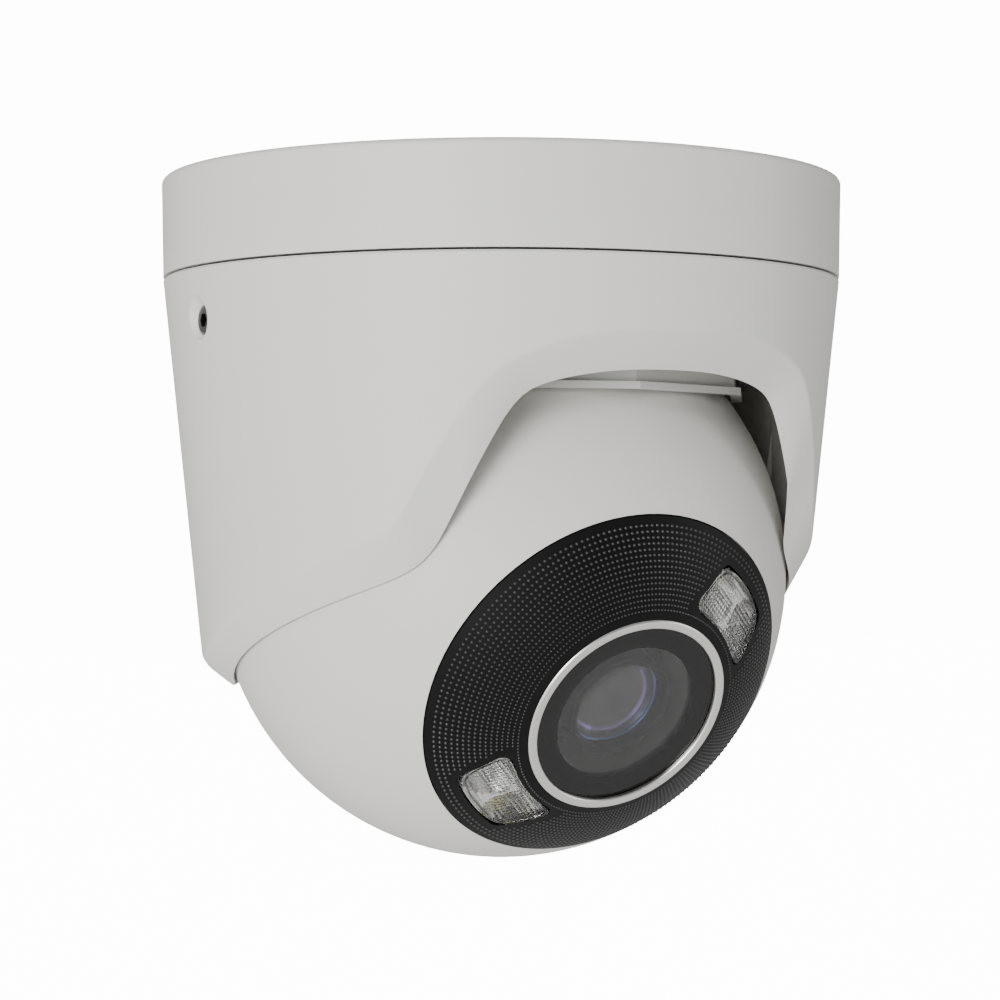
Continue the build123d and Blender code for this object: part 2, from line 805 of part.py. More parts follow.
def led_outline(centre_angle, margin):
    """Outline of one LED window: two arcs joined by slanting ends, with rounded corners."""
    with BuildSketch(mode=Mode.PRIVATE) as outline:
        with BuildLine():
            inner_left = polar_spot(led_inner_radius, centre_angle - led_inner_spread)
            inner_right = polar_spot(led_inner_radius, centre_angle + led_inner_spread)
            outer_left = polar_spot(led_outer_radius, centre_angle - led_outer_spread)
            outer_right = polar_spot(led_outer_radius, centre_angle + led_outer_spread)
            ThreePointArc(inner_left, polar_spot(led_inner_radius, centre_angle), inner_right)
            Line(inner_right, outer_right)
            ThreePointArc(outer_right, polar_spot(led_outer_radius, centre_angle), outer_left)
            Line(outer_left, inner_left)
        make_face()
        fillet(outline.vertices(), radius=led_corner)
        if margin:
            offset(amount=margin, mode=Mode.REPLACE)
    return outline.sketch


with BuildPart() as lens_bezel:
    with BuildSketch(lens_section):
        with BuildLine():
            bezel_front = math.sqrt(bezel_radius**2 - (ring_outer + seat_gap) ** 2)
            bezel_side = math.sqrt(bezel_radius**2 - bezel_edge**2)
            sleeve_top = math.sqrt(bezel_inner**2 - sleeve_outer**2)
            sphere_arc(bezel_radius, bezel_front, bezel_side)
            Polyline(
                (bezel_edge, bezel_side),
                (bezel_edge, bezel_back),
                on_sphere(bezel_inner, bezel_back),
            )
            sphere_arc(bezel_inner, bezel_back, sleeve_top)
            Polyline(
                (sleeve_outer, sleeve_top),
                (sleeve_outer, board_front + 0.2),
                (sleeve_inner, board_front + 0.2),
                (sleeve_inner, ledge_back),
                (ledge_inner_radius, ledge_back),
                (ledge_inner_radius, ledge_front),
                (ring_outer + seat_gap, ledge_front),
                (ring_outer + seat_gap, bezel_front),
            )
        make_face()
    revolve(axis=lens_axis)
    with BuildSketch(lens_plane.offset(board_front + seat_gap)):
        with Locations(*led_screw_spots):
            Circle(led_post_radius)
    extrude(amount=led_post_length)
    for window_angle in led_window_angles:
        with BuildSketch(lens_plane.offset(30)):
            add(led_outline(window_angle, 0.08))
        extrude(amount=20, mode=Mode.SUBTRACT)
    with BuildSketch(lens_plane.offset(board_front)):
        with Locations(*led_screw_spots):
            Circle(0.8)
    extrude(amount=4.5, mode=Mode.SUBTRACT)
save(lens_bezel, "lens_bezel")

with BuildPart() as bezel_gasket:
    with BuildSketch(lens_plane.offset(face_seat)):
        Circle(face_opening - 0.2)
        Circle(face_seat_inner + 0.9, mode=Mode.SUBTRACT)
    extrude(amount=bezel_back - face_seat)
save(bezel_gasket, "bezel_gasket")

with BuildPart() as window_ring:
    with BuildSketch(lens_section):
        with BuildLine():
            Polyline(
                (ring_outer, ledge_front + seat_gap),
                (ring_outer, trim_top - 0.3),
                (ring_outer - 0.3, trim_top),
                (ring_inner + 0.2, trim_top),
                (ring_inner, trim_top - 0.2),
                (ring_inner, trim_lip),
                (glass_radius + fit_gap, trim_lip),
                (glass_radius + fit_gap, ledge_front + seat_gap),
                close=True,
            )
        make_face()
    revolve(axis=lens_axis)
save(window_ring, "window_ring")

with BuildPart() as window_glass:
    with BuildSketch(lens_plane.offset(glass_back)):
        Circle(glass_radius)
    extrude(amount=glass_thickness)
save(window_glass, "window_glass")

with BuildPart() as window_seal:
    with BuildSketch(lens_plane.offset(ledge_front + seat_gap)):
        Circle(glass_radius)
        Circle(seal_inner, mode=Mode.SUBTRACT)
    extrude(amount=seal_thickness)
save(window_seal, "window_seal")

with BuildPart() as light_baffle:
    with BuildSketch(lens_plane.offset(board_front + seat_gap)):
        Circle(baffle_outer)
        Circle(baffle_inner, mode=Mode.SUBTRACT)
    extrude(amount=glass_back - fit_gap - board_front)
save(light_baffle, "light_baffle")

for window_angle, side_name in zip(led_window_angles, ("upper", "lower")):
    lamp_spots = []
    for spread in (-lamp_spread, lamp_spread):
        lamp_spots.append(polar_spot(lamp_circle, window_angle + spread))
    with BuildPart() as led_window:
        with Locations(ball_centre):
            Sphere(bezel_radius - seat_gap)
            Sphere(bezel_inner + 2 * fit_gap, mode=Mode.SUBTRACT)
        with BuildSketch(lens_plane.offset(20)):
            add(led_outline(window_angle, 0))
        extrude(amount=40, mode=Mode.INTERSECT)
    save(led_window, f"led_window_{side_name}")
    with BuildPart() as led_reflector:
        with Locations(ball_centre):
            Sphere(bezel_inner + fit_gap)
        with BuildSketch(lens_plane.offset(board_front + seat_gap)):
            add(led_outline(window_angle, -0.3))
        extrude(amount=20, mode=Mode.INTERSECT)
        for spot in lamp_spots:
            with BuildSketch(lens_plane.offset(board_front)):
                with Locations(spot):
                    Circle(lamp_cup_foot)
            with BuildSketch(lens_plane.offset(board_front + lamp_cup_depth)):
                with Locations(spot):
                    Circle(lamp_cup_mouth)
            loft(mode=Mode.SUBTRACT)
    save(led_reflector, f"led_reflector_{side_name}")

lamp_chip_side = 3.0
lamp_chip_height = 0.9
lamp_dome_radius = 1.3
lamp_dome_height = 1.1
for name, spread in (("infrared_leds", -lamp_spread), ("white_leds", lamp_spread)):
    with BuildPart() as leds:
        for window_angle in led_window_angles:
            spot = polar_spot(lamp_circle, window_angle + spread)
            with BuildSketch(lens_plane.offset(board_front + contact_gap)):
                with Locations(spot):
                    Rectangle(lamp_chip_side, lamp_chip_side)
            extrude(amount=lamp_chip_height)
            with BuildSketch(lens_plane.offset(board_front + lamp_chip_height)):
                with Locations(spot):
                    Circle(lamp_dome_radius)
            extrude(amount=lamp_dome_height, taper=20)
    save(leds, name)

with BuildPart() as led_board:
    with BuildSketch(lens_plane.offset(board_front)):
        Circle(27.0)
        Circle(9.2, mode=Mode.SUBTRACT)
        with Locations(*led_screw_spots):
            Circle(0.9, mode=Mode.SUBTRACT)
    extrude(amount=-led_board_thickness)
save(led_board, "led_board")

led_board_screws = make_screws(
    turned_over(around(led_screw_circle, led_screw_turns, board_front - led_board_thickness)),
    *led_screw,
)
save(led_board_screws, "led_board_screws")

# ---------------------------------------------------------------- lens, filter and sensor
barrel_front = 40.3
barrel_step = 30.0
barrel_rear = 15.5
barrel_radius = 8.65
neck_radius = 6.0
front_bore = 5.3
rear_bore = 4.4
rear_bore_front = 20.0
throat_start = 35.5
throat_end = 37.0
mouth_radius = 7.5
front_lens_back = 37.1
front_lens_top = 39.8
front_lens_radius = 7.4
front_lens_curve = 18.0
rear_lens_back = 16.2
rear_lens_radius = 4.35
rear_lens_thickness = 2.2
rear_lens_curve = 14.0
lock_ring_radius = 8.4
lock_ring_back = 24.2
lock_ring_height = 2.4
thread_gap = 0.03
sensor_board_front = 10.2
board_thickness = 1.2

with BuildPart() as lens_barrel:
    with BuildSketch(lens_section):
        with BuildLine():
            Polyline(
                (mouth_radius, barrel_front),
                (barrel_radius - 0.3, barrel_front),
                (barrel_radius, barrel_front - 0.3),
                (barrel_radius, barrel_step),
                (neck_radius, barrel_step),
                (neck_radius, barrel_rear),
                (rear_bore, barrel_rear),
                (rear_bore, rear_bore_front),
                (front_bore, rear_bore_front),
                (front_bore, throat_start),
                (mouth_radius, throat_end),
                close=True,
            )
        make_face()
    revolve(axis=lens_axis)
save(lens_barrel, "lens_barrel")

with BuildPart() as lens_front_element:
    with BuildSketch(lens_plane.offset(front_lens_back)):
        Circle(front_lens_radius)
    extrude(amount=front_lens_top - front_lens_back)
    with Locations(lens_plane.offset(front_lens_top - front_lens_curve)):
        Sphere(front_lens_curve, mode=Mode.INTERSECT)
save(lens_front_element, "lens_front_element")

with BuildPart() as lens_rear_element:
    with BuildSketch(lens_plane.offset(rear_lens_back)):
        Circle(rear_lens_radius)
    extrude(amount=rear_lens_thickness)
    with Locations(lens_plane.offset(rear_lens_back + rear_lens_curve)):
        Sphere(rear_lens_curve, mode=Mode.INTERSECT)
save(lens_rear_element, "lens_rear_element")

with BuildPart() as lens_lock_ring:
    with BuildSketch(lens_plane.offset(lock_ring_back)):
        RegularPolygon(lock_ring_radius, side_count=24)
        Circle(neck_radius + thread_gap, mode=Mode.SUBTRACT)
    extrude(amount=lock_ring_height)
save(lens_lock_ring, "lens_lock_ring")

holder_width = 24.0
holder_depth = 16.0
filter_slot = (13.0, 14.8)
filter_travel = 6.4
filter_hole_radius = 2.9
filter_radius = 2.85
holder_base = 5.8
holder_tube_radius = 8.0
holder_top = 24.0

with BuildPart() as lens_holder:
    with BuildSketch(lens_plane.offset(sensor_board_front)):
        Rectangle(holder_width, holder_depth)
    extrude(amount=holder_base)
    with BuildSketch(lens_plane.offset(sensor_board_front + holder_base)):
        Circle(holder_tube_radius)
    extrude(amount=holder_top - sensor_board_front - holder_base)
    with BuildSketch(lens_plane.offset(sensor_board_front)):
        Rectangle(12.0, 10.0)
    extrude(amount=2.2, mode=Mode.SUBTRACT)
    with BuildSketch(lens_plane.offset(sensor_board_front)):
        Circle(4.6)
    extrude(amount=5.0, mode=Mode.SUBTRACT)
    with BuildSketch(lens_plane.offset(filter_slot[0])):
        Rectangle(holder_width - 2.4, 10.6)
    extrude(amount=filter_slot[1] - filter_slot[0], mode=Mode.SUBTRACT)
    with BuildSketch(lens_plane.offset(filter_slot[1])):
        Circle(neck_radius + thread_gap)
    extrude(amount=12.0, mode=Mode.SUBTRACT)
save(lens_holder, "lens_holder")

with BuildPart() as ir_cut_frame:
    with BuildSketch(lens_plane.offset(filter_slot[0] + 0.25)):
        with Locations((-filter_travel / 2, 0)):
            Rectangle(13.6, 10.0)
        with Locations((0, 0), (-filter_travel, 0)):
            Circle(filter_hole_radius, mode=Mode.SUBTRACT)
    extrude(amount=1.3)
save(ir_cut_frame, "ir_cut_frame")

for name, across in (("ir_filter_glass", 0.0), ("clear_filter_glass", -filter_travel)):
    with BuildPart() as filter_glass:
        with BuildSketch(lens_plane.offset(filter_slot[0] + 0.5)):
            with Locations((across, 0)):
                Circle(filter_radius)
        extrude(amount=0.6)
    save(filter_glass, name)

ir_cut_coil = make_block(0, 11.0, 12.0, 5.6, sensor_board_front + contact_gap, 5.0)
save(ir_cut_coil, "ir_cut_coil")
image_sensor = make_block(0, 0, 9.0, 7.0, sensor_board_front + contact_gap, 0.9)
save(image_sensor, "image_sensor")

sensor_board_size = 32.0
sensor_post_pitch = 26.0
main_board_front = 0.6
main_board_radius = 33.0
main_board_thickness = 1.6
main_board_rear = main_board_front - main_board_thickness
sensor_board_rear = sensor_board_front - board_thickness
housing_floor = housing_step + housing_wall
board_post_pitch = 43.0
standoff_radius = 2.2
standoff_bore = 0.85
board_hole_radius = 1.0
chip_side = 13.0
chip_height = 1.38
pad_side = 12.0
pad_back = 2.9
pad_thickness = 1.48
spreader_width = 42.0
spreader_height = 24.0
spreader_plate = 2.0
card_slot_width = 11.4
card_slot_height = 12.1
socket_width = 15.0
socket_height = 14.0
socket_thickness = 1.9

with BuildPart() as sensor_board:
    with BuildSketch(lens_plane.offset(sensor_board_rear)):
        Rectangle(sensor_board_size, sensor_board_size)
        with GridLocations(sensor_post_pitch, sensor_post_pitch, 2, 2):
            Circle(board_hole_radius, mode=Mode.SUBTRACT)
    extrude(amount=board_thickness)
save(sensor_board, "sensor_board")

with BuildPart() as sensor_standoffs:
    with BuildSketch(lens_plane.offset(main_board_front + contact_gap)):
        with GridLocations(sensor_post_pitch, sensor_post_pitch, 2, 2):
            RegularPolygon(standoff_radius, side_count=6)
            Circle(standoff_bore, mode=Mode.SUBTRACT)
    extrude(amount=sensor_board_rear - main_board_front - 2 * contact_gap)
save(sensor_standoffs, "sensor_standoffs")

half_pitch = sensor_post_pitch / 2 * math.sqrt(2)
sensor_board_screws = make_screws(
    around(half_pitch, screw_angles, sensor_board_front + contact_gap / 2), *board_screw
)
save(sensor_board_screws, "sensor_board_screws")

with BuildPart() as main_board:
    with BuildSketch(lens_plane.offset(main_board_rear)):
        Circle(main_board_radius)
        with GridLocations(board_post_pitch, board_post_pitch, 2, 2):
            Circle(board_hole_radius, mode=Mode.SUBTRACT)
    extrude(amount=main_board_thickness)
save(main_board, "main_board")

with BuildPart() as board_standoffs:
    with BuildSketch(lens_plane.offset(housing_floor + contact_gap)):
        with GridLocations(board_post_pitch, board_post_pitch, 2, 2):
            RegularPolygon(standoff_radius, side_count=6)
            Circle(standoff_bore, mode=Mode.SUBTRACT)
    extrude(amount=main_board_rear - housing_floor - 2 * contact_gap)
save(board_standoffs, "board_standoffs")

half_board_pitch = board_post_pitch / 2 * math.sqrt(2)
board_screws = make_screws(
    around(half_board_pitch, screw_angles, main_board_front + contact_gap / 2), *board_screw
)
save(board_screws, "board_screws")

processor = make_block(
    0, 0, chip_side, chip_side, main_board_rear - chip_height - contact_gap, chip_height
)
save(processor, "processor")
thermal_pad = make_block(0, 0, pad_side, pad_side, main_board_rear - pad_back, pad_thickness)
save(thermal_pad, "thermal_pad")

with BuildPart() as heat_spreader:
    spreader_front = main_board_rear - pad_back - contact_gap
    with BuildSketch(lens_plane.offset(spreader_front)):
        Rectangle(spreader_width, spreader_height)
    extrude(amount=-spreader_plate)
    # a leg on each side stands on the rear housing's floor
    with BuildSketch(lens_plane.offset(spreader_front)):
        with GridLocations(spreader_width - spreader_plate, 1, 2, 1):
            Rectangle(spreader_plate, spreader_height)
    extrude(amount=housing_rear + housing_wall + contact_gap - spreader_front)
save(heat_spreader, "heat_spreader")

with BuildPart() as sd_card_socket:
    with BuildSketch(lens_plane.offset(main_board_front + contact_gap)):
        with Locations((0, -24.0)):
            Rectangle(socket_width, socket_height)
    extrude(amount=socket_thickness)
    with BuildSketch(lens_plane.offset(main_board_front + 0.52)):
        with Locations((0, -25.0)):
            Rectangle(card_slot_width, card_slot_height)
    extrude(amount=1.0, mode=Mode.SUBTRACT)
save(sd_card_socket, "sd_card_socket")

button_axis = (12.0, 3.6)
button_radius = 1.4
button_foot = 26.6
button_length = 4.4
switch_bore_foot = 26.0
switch_bore_depth = 4.0
reset_switch_body = make_block(
    button_axis[0], -26.5, 6.0, button_axis[1], main_board_front + contact_gap, 5.0
)
with BuildPart() as reset_switch:
    add(reset_switch_body.part)
    with BuildSketch(lens_section.offset(switch_bore_foot)):
        with Locations(button_axis):
            Circle(button_radius + seat_gap)
    extrude(amount=switch_bore_depth, mode=Mode.SUBTRACT)
save(reset_switch, "reset_switch")

with BuildPart() as reset_button:
    with BuildSketch(lens_section.offset(button_foot)):
        with Locations(button_axis):
            Circle(button_radius)
    extrude(amount=button_length)
save(reset_button, "reset_button")

# ---------------------------------------------------------------- cable gland on the ball
gland_bore = 2.7
gland_flat = 7.0
gland_hex_height = 3.0
gland_neck_radius = 6.0
gland_neck_height = 5.0
gland_thread_length = 5.4
gland_nut_height = 2.4

with BuildPart() as cable_gland:
    with BuildSketch(lens_plane.offset(housing_rear)):
        RegularPolygon(gland_flat, side_count=6, major_radius=False)
    extrude(amount=-gland_hex_height)
    with BuildSketch(lens_plane.offset(housing_rear - gland_hex_height)):
        Circle(gland_neck_radius)
    extrude(amount=-gland_neck_height, taper=8)
    with BuildSketch(lens_plane.offset(housing_rear)):
        Circle(gland_hole - fit_gap)
    extrude(amount=gland_thread_length)
    with BuildSketch(lens_plane.offset(housing_rear - 9.0)):
        Circle(gland_bore)
    extrude(amount=16.0, mode=Mode.SUBTRACT)
save(cable_gland, "cable_gland")

with BuildPart() as gland_nut:
    with BuildSketch(lens_plane.offset(housing_rear + housing_wall + 0.02)):
        RegularPolygon(gland_flat, side_count=6, major_radius=False)
        Circle(gland_hole, mode=Mode.SUBTRACT)
    extrude(amount=gland_nut_height)
save(gland_nut, "gland_nut")
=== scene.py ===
import json
import math

import bmesh
import bpy
from mathutils import Matrix, Vector


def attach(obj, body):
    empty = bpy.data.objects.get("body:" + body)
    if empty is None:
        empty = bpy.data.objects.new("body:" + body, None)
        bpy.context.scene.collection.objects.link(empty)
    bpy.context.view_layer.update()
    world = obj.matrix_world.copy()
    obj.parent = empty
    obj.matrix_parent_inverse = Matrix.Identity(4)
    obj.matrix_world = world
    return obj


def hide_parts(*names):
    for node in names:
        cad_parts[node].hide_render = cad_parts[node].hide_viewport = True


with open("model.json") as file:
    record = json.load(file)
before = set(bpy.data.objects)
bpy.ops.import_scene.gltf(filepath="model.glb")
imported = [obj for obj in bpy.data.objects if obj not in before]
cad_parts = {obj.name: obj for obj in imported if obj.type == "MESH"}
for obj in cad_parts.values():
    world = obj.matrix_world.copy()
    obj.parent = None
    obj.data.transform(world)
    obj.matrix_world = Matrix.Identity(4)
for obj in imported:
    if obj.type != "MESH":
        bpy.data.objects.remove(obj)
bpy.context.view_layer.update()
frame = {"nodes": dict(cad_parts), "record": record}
record = frame["record"]
nodes = frame["nodes"]
MM = 0.001

# ---------------------------------------------------------------- the face's own frame
# x runs to the side, y up the face and z out along the lens, from the centre of the ball
DIP = math.radians(29.5)
BALL_CENTRE_Z = -63.15
BALL_CENTRE = Vector((0, 0, BALL_CENTRE_Z)) * MM
FACE = Matrix.Translation(BALL_CENTRE) @ Matrix((
    (1, 0, 0, 0),
    (0, -math.sin(DIP), -math.cos(DIP), 0),
    (0, math.cos(DIP), -math.sin(DIP), 0),
    (0, 0, 0, 1),
))
BEZEL_RADIUS = 46.2


def on_ball(radius, across):
    """Distance along the lens of a point of a ball, from its distance to the lens axis."""
    return math.sqrt(radius**2 - across**2)


# ---------------------------------------------------------------- modelling helpers
def select_only(*objects):
    """Makes these the only selected objects, and the last one active."""
    bpy.ops.object.select_all(action="DESELECT")
    for piece in objects:
        piece.select_set(True)
    bpy.context.view_layer.objects.active = objects[-1]


def in_edit_mode(piece, action):
    """Runs an action with all of the piece selected in edit mode."""
    select_only(piece)
    bpy.ops.object.mode_set(mode="EDIT")
    bpy.ops.mesh.select_all(action="SELECT")
    action()
    bpy.ops.object.mode_set(mode="OBJECT")


def close_up(piece, distance=0.004 * MM):
    """Merges doubled points and turns the faces outwards."""

    def tidy():
        bpy.ops.mesh.remove_doubles(threshold=distance)
        bpy.ops.mesh.normals_make_consistent(inside=False)

    in_edit_mode(piece, tidy)


def smooth(piece, angle=35):
    """Shades the piece smooth, with edges sharper than the angle kept crisp."""
    select_only(piece)
    bpy.ops.object.shade_smooth_by_angle(angle=math.radians(angle), keep_sharp_edges=False)


def apply_all(piece):
    """Applies every modifier of the piece."""
    select_only(piece)
    for modifier in list(piece.modifiers):
        bpy.ops.object.modifier_apply(modifier=modifier.name)


def combine(piece, operation, tool):
    """Cuts a piece with a tool, or joins the tool to it, and removes the tool."""
    step = piece.modifiers.new("combine", "BOOLEAN")
    step.operation = operation
    step.solver = "EXACT"
    step.object = tool
    apply_all(piece)
    bpy.data.objects.remove(tool)


def settle(piece, name, body, slot, place=None, finish=None):
    """Puts a finished piece in its place, with the object left at the origin, and names its body."""
    if place is not None:
        piece.data.transform(place)
    piece.name = name
    piece.data.name = name
    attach(piece, body)
    piece.data.materials.clear()
    piece.data.materials.append(finish or finishes[slot])
    return piece


def turned(profile, steps=160):
    """A ring made by spinning a closed profile of (radius, height) points about the z axis."""
    mesh = bpy.data.meshes.new("turned")
    points = [(r * MM, 0, h * MM) for r, h in profile]
    edges = [(i, (i + 1) % len(points)) for i in range(len(points))]
    mesh.from_pydata(points, edges, [])
    ring = bpy.data.objects.new("turned", mesh)
    bpy.context.collection.objects.link(ring)

    def spin():
        bpy.ops.mesh.spin(steps=steps, angle=2 * math.pi, center=(0, 0, 0), axis=(0, 0, 1))

    in_edit_mode(ring, spin)
    close_up(ring)
    return ring


# ---------------------------------------------------------------- finishes
def new_group(name, inputs, outputs):
    """An empty shader node group with named float or colour sockets."""
    group = bpy.data.node_groups.new(name, "ShaderNodeTree")
    for label, kind, value in inputs:
        socket = group.interface.new_socket(label, in_out="INPUT", socket_type=kind)
        socket.default_value = value
    for label, kind in outputs:
        group.interface.new_socket(label, in_out="OUTPUT", socket_type=kind)
    start = group.nodes.new("NodeGroupInput")
    end = group.nodes.new("NodeGroupOutput")
    return group, start, end


def connect(tree, source, target):
    tree.links.new(source, target)


def math_node(tree, operation, first, second):
    """A Math node whose inputs are sockets or numbers."""
    node = tree.nodes.new("ShaderNodeMath")
    node.operation = operation
    for i, value in enumerate((first, second)):
        if isinstance(value, (int, float)):
            node.inputs[i].default_value = value
        else:
            connect(tree, value, node.inputs[i])
    return node.outputs[0]


def use_group(tree, group, **values):
    node = tree.nodes.new("ShaderNodeGroup")
    node.node_tree = group
    for label, value in values.items():
        node.inputs[label].default_value = value
    return node


def make_grain_group():
    """Moulded or cast skin: fine pimples, a slow drift of tone and of gloss."""
    group, start, end = new_group(
        "moulded_grain",
        [
            ("Colour", "NodeSocketColor", (0.8, 0.8, 0.8, 1)),
            ("Drift", "NodeSocketFloat", 0.04),
            ("Scale", "NodeSocketFloat", 2200.0),
            ("Roughness", "NodeSocketFloat", 0.5),
        ],
        [
            ("Colour", "NodeSocketColor"),
            ("Roughness", "NodeSocketFloat"),
            ("Height", "NodeSocketFloat"),
        ],
    )
    place = group.nodes.new("ShaderNodeTexCoord")
    fine = group.nodes.new("ShaderNodeTexNoise")
    fine.inputs["Detail"].default_value = 3.0
    fine.inputs["Roughness"].default_value = 0.55
    connect(group, place.outputs["Object"], fine.inputs["Vector"])
    connect(group, start.outputs["Scale"], fine.inputs["Scale"])
    slow = group.nodes.new("ShaderNodeTexNoise")
    slow.inputs["Scale"].default_value = 38.0
    slow.inputs["Detail"].default_value = 4.0
    connect(group, place.outputs["Object"], slow.inputs["Vector"])
    swing = math_node(group, "SUBTRACT", slow.outputs["Fac"], 0.5)
    swing = math_node(group, "MULTIPLY", swing, start.outputs["Drift"])
    share = math_node(group, "ADD", swing, 1.0)
    tone = group.nodes.new("ShaderNodeVectorMath")
    tone.operation = "SCALE"
    connect(group, start.outputs["Colour"], tone.inputs[0])
    connect(group, share, tone.inputs["Scale"])
    gloss = math_node(group, "MULTIPLY", swing, 1.4)
    gloss = math_node(group, "ADD", gloss, start.outputs["Roughness"])
    connect(group, tone.outputs[0], end.inputs["Colour"])
    connect(group, gloss, end.inputs["Roughness"])
    connect(group, fine.outputs["Fac"], end.inputs["Height"])
    return group


def make_wear_group():
    """Edges rubbed a little lighter where hands and tools touch."""
    group, start, end = new_group(
        "edge_wear",
        [
            ("Colour", "NodeSocketColor", (0.5, 0.5, 0.5, 1)),
            ("Worn", "NodeSocketColor", (0.8, 0.8, 0.8, 1)),
            ("Amount", "NodeSocketFloat", 0.4),
        ],
        [("Colour", "NodeSocketColor")],
    )
    shape = group.nodes.new("ShaderNodeNewGeometry")
    place = group.nodes.new("ShaderNodeTexCoord")
    patch = group.nodes.new("ShaderNodeTexNoise")
    patch.inputs["Scale"].default_value = 160.0
    connect(group, place.outputs["Object"], patch.inputs["Vector"])
    ridge = group.nodes.new("ShaderNodeMapRange")
    ridge.inputs["From Min"].default_value = 0.53
    ridge.inputs["From Max"].default_value = 0.62
    connect(group, shape.outputs["Pointiness"], ridge.inputs["Value"])
    spotty = math_node(group, "MULTIPLY", ridge.outputs[0], patch.outputs["Fac"])
    amount = math_node(group, "MULTIPLY", spotty, start.outputs["Amount"])
    mix = group.nodes.new("ShaderNodeMix")
    mix.data_type = "RGBA"
    connect(group, amount, mix.inputs[0])
    connect(group, start.outputs["Colour"], mix.inputs[6])
    connect(group, start.outputs["Worn"], mix.inputs[7])
    connect(group, mix.outputs[2], end.inputs["Colour"])
    return group


def make_radius_group():
    """Distance from the lens axis, in millimetres."""
    group, _, end = new_group("lens_axis_radius", [], [("Radius", "NodeSocketFloat")])
    place = group.nodes.new("ShaderNodeTexCoord")
    centre = group.nodes.new("ShaderNodeMapping")
    centre.vector_type = "TEXTURE"
    centre.inputs["Location"].default_value = BALL_CENTRE
    centre.inputs["Rotation"].default_value = FACE.to_euler()
    connect(group, place.outputs["Object"], centre.inputs["Vector"])
    parts = group.nodes.new("ShaderNodeSeparateXYZ")
    connect(group, centre.outputs[0], parts.inputs[0])
    across = math_node(group, "MULTIPLY", parts.outputs["X"], parts.outputs["X"])
    up = math_node(group, "MULTIPLY", parts.outputs["Y"], parts.outputs["Y"])
    radius = math_node(group, "SQRT", math_node(group, "ADD", across, up), 0.0)
    connect(group, math_node(group, "MULTIPLY", radius, 1000.0), end.inputs["Radius"])
    return group


def make_turning_group():
    """Fine turning marks round the lens axis."""
    group, start, end = new_group(
        "turning_marks",
        [("Roughness", "NodeSocketFloat", 0.3), ("Depth", "NodeSocketFloat", 0.1)],
        [("Roughness", "NodeSocketFloat"), ("Height", "NodeSocketFloat")],
    )
    radius = use_group(group, radius_group).outputs["Radius"]
    ring = math_node(group, "MULTIPLY", radius, 9.0)
    marks = group.nodes.new("ShaderNodeTexNoise")
    marks.noise_dimensions = "1D"
    marks.inputs["Scale"].default_value = 1.0
    connect(group, ring, marks.inputs["W"])
    swing = math_node(group, "MULTIPLY", marks.outputs["Fac"], start.outputs["Depth"])
    connect(group, math_node(group, "ADD", swing, start.outputs["Roughness"]), end.inputs["Roughness"])
    connect(group, marks.outputs["Fac"], end.inputs["Height"])
    return group


grain_group = make_grain_group()
wear_group = make_wear_group()
radius_group = make_radius_group()
turning_group = make_turning_group()


def start_material(name):
    material = bpy.data.materials.new(name)
    material.use_nodes = True
    return material, material.node_tree, material.node_tree.nodes["Principled BSDF"]


def add_bump(tree, height, shader, strength, distance):
    bump = tree.nodes.new("ShaderNodeBump")
    bump.inputs["Strength"].default_value = strength
    bump.inputs["Distance"].default_value = distance
    connect(tree, height, bump.inputs["Height"])
    connect(tree, bump.outputs[0], shader.inputs["Normal"])


def moulded(name, colour, roughness, scale=2200.0, bump=0.25, drift=0.04, worn=None,
            metallic=0.0, depth=0.00004, sheen=0.0, specular=0.5):
    """A moulded, cast or painted finish with its own grain and, if asked, worn edges."""
    material, tree, shader = start_material(name)
    grain = use_group(
        tree, grain_group, Colour=(*colour, 1), Drift=drift, Scale=scale, Roughness=roughness
    )
    shader.inputs["Metallic"].default_value = metallic
    shader.inputs["Sheen Weight"].default_value = sheen
    shader.inputs["Specular IOR Level"].default_value = specular
    connect(tree, grain.outputs["Roughness"], shader.inputs["Roughness"])
    if worn is None:
        connect(tree, grain.outputs["Colour"], shader.inputs["Base Color"])
    else:
        wear = use_group(tree, wear_group, Worn=(*worn, 1), Amount=0.5)
        connect(tree, grain.outputs["Colour"], wear.inputs["Colour"])
        connect(tree, wear.outputs["Colour"], shader.inputs["Base Color"])
    add_bump(tree, grain.outputs["Height"], shader, bump, depth)
    return material


def machined(name, colour, roughness, depth=0.12):
    """Turned metal: marks that run round the lens axis, over a slow change of tone."""
    material, tree, shader = start_material(name)
    grain = use_group(
        tree, grain_group, Colour=(*colour, 1), Drift=0.06, Scale=900.0, Roughness=roughness
    )
    marks = use_group(tree, turning_group, Roughness=roughness, Depth=depth)
    shader.inputs["Metallic"].default_value = 1.0
    connect(tree, grain.outputs["Colour"], shader.inputs["Base Color"])
    connect(tree, marks.outputs["Roughness"], shader.inputs["Roughness"])
    add_bump(tree, marks.outputs["Height"], shader, 0.15, 0.00001)
    return material


def glazed(name, colour, roughness, film=0.0, film_ior=1.38, drift=0.02):
    """Glass or clear plastic with a trace of dust, and a thin coating if it has one."""
    material, tree, shader = start_material(name)
    grain = use_group(
        tree, grain_group, Colour=(*colour, 1), Drift=drift, Scale=500.0, Roughness=roughness
    )
    shader.inputs["Transmission Weight"].default_value = 1.0
    shader.inputs["IOR"].default_value = 1.47
    shader.inputs["Thin Film Thickness"].default_value = film
    shader.inputs["Thin Film IOR"].default_value = film_ior
    connect(tree, grain.outputs["Colour"], shader.inputs["Base Color"])
    connect(tree, grain.outputs["Roughness"], shader.inputs["Roughness"])
    return material


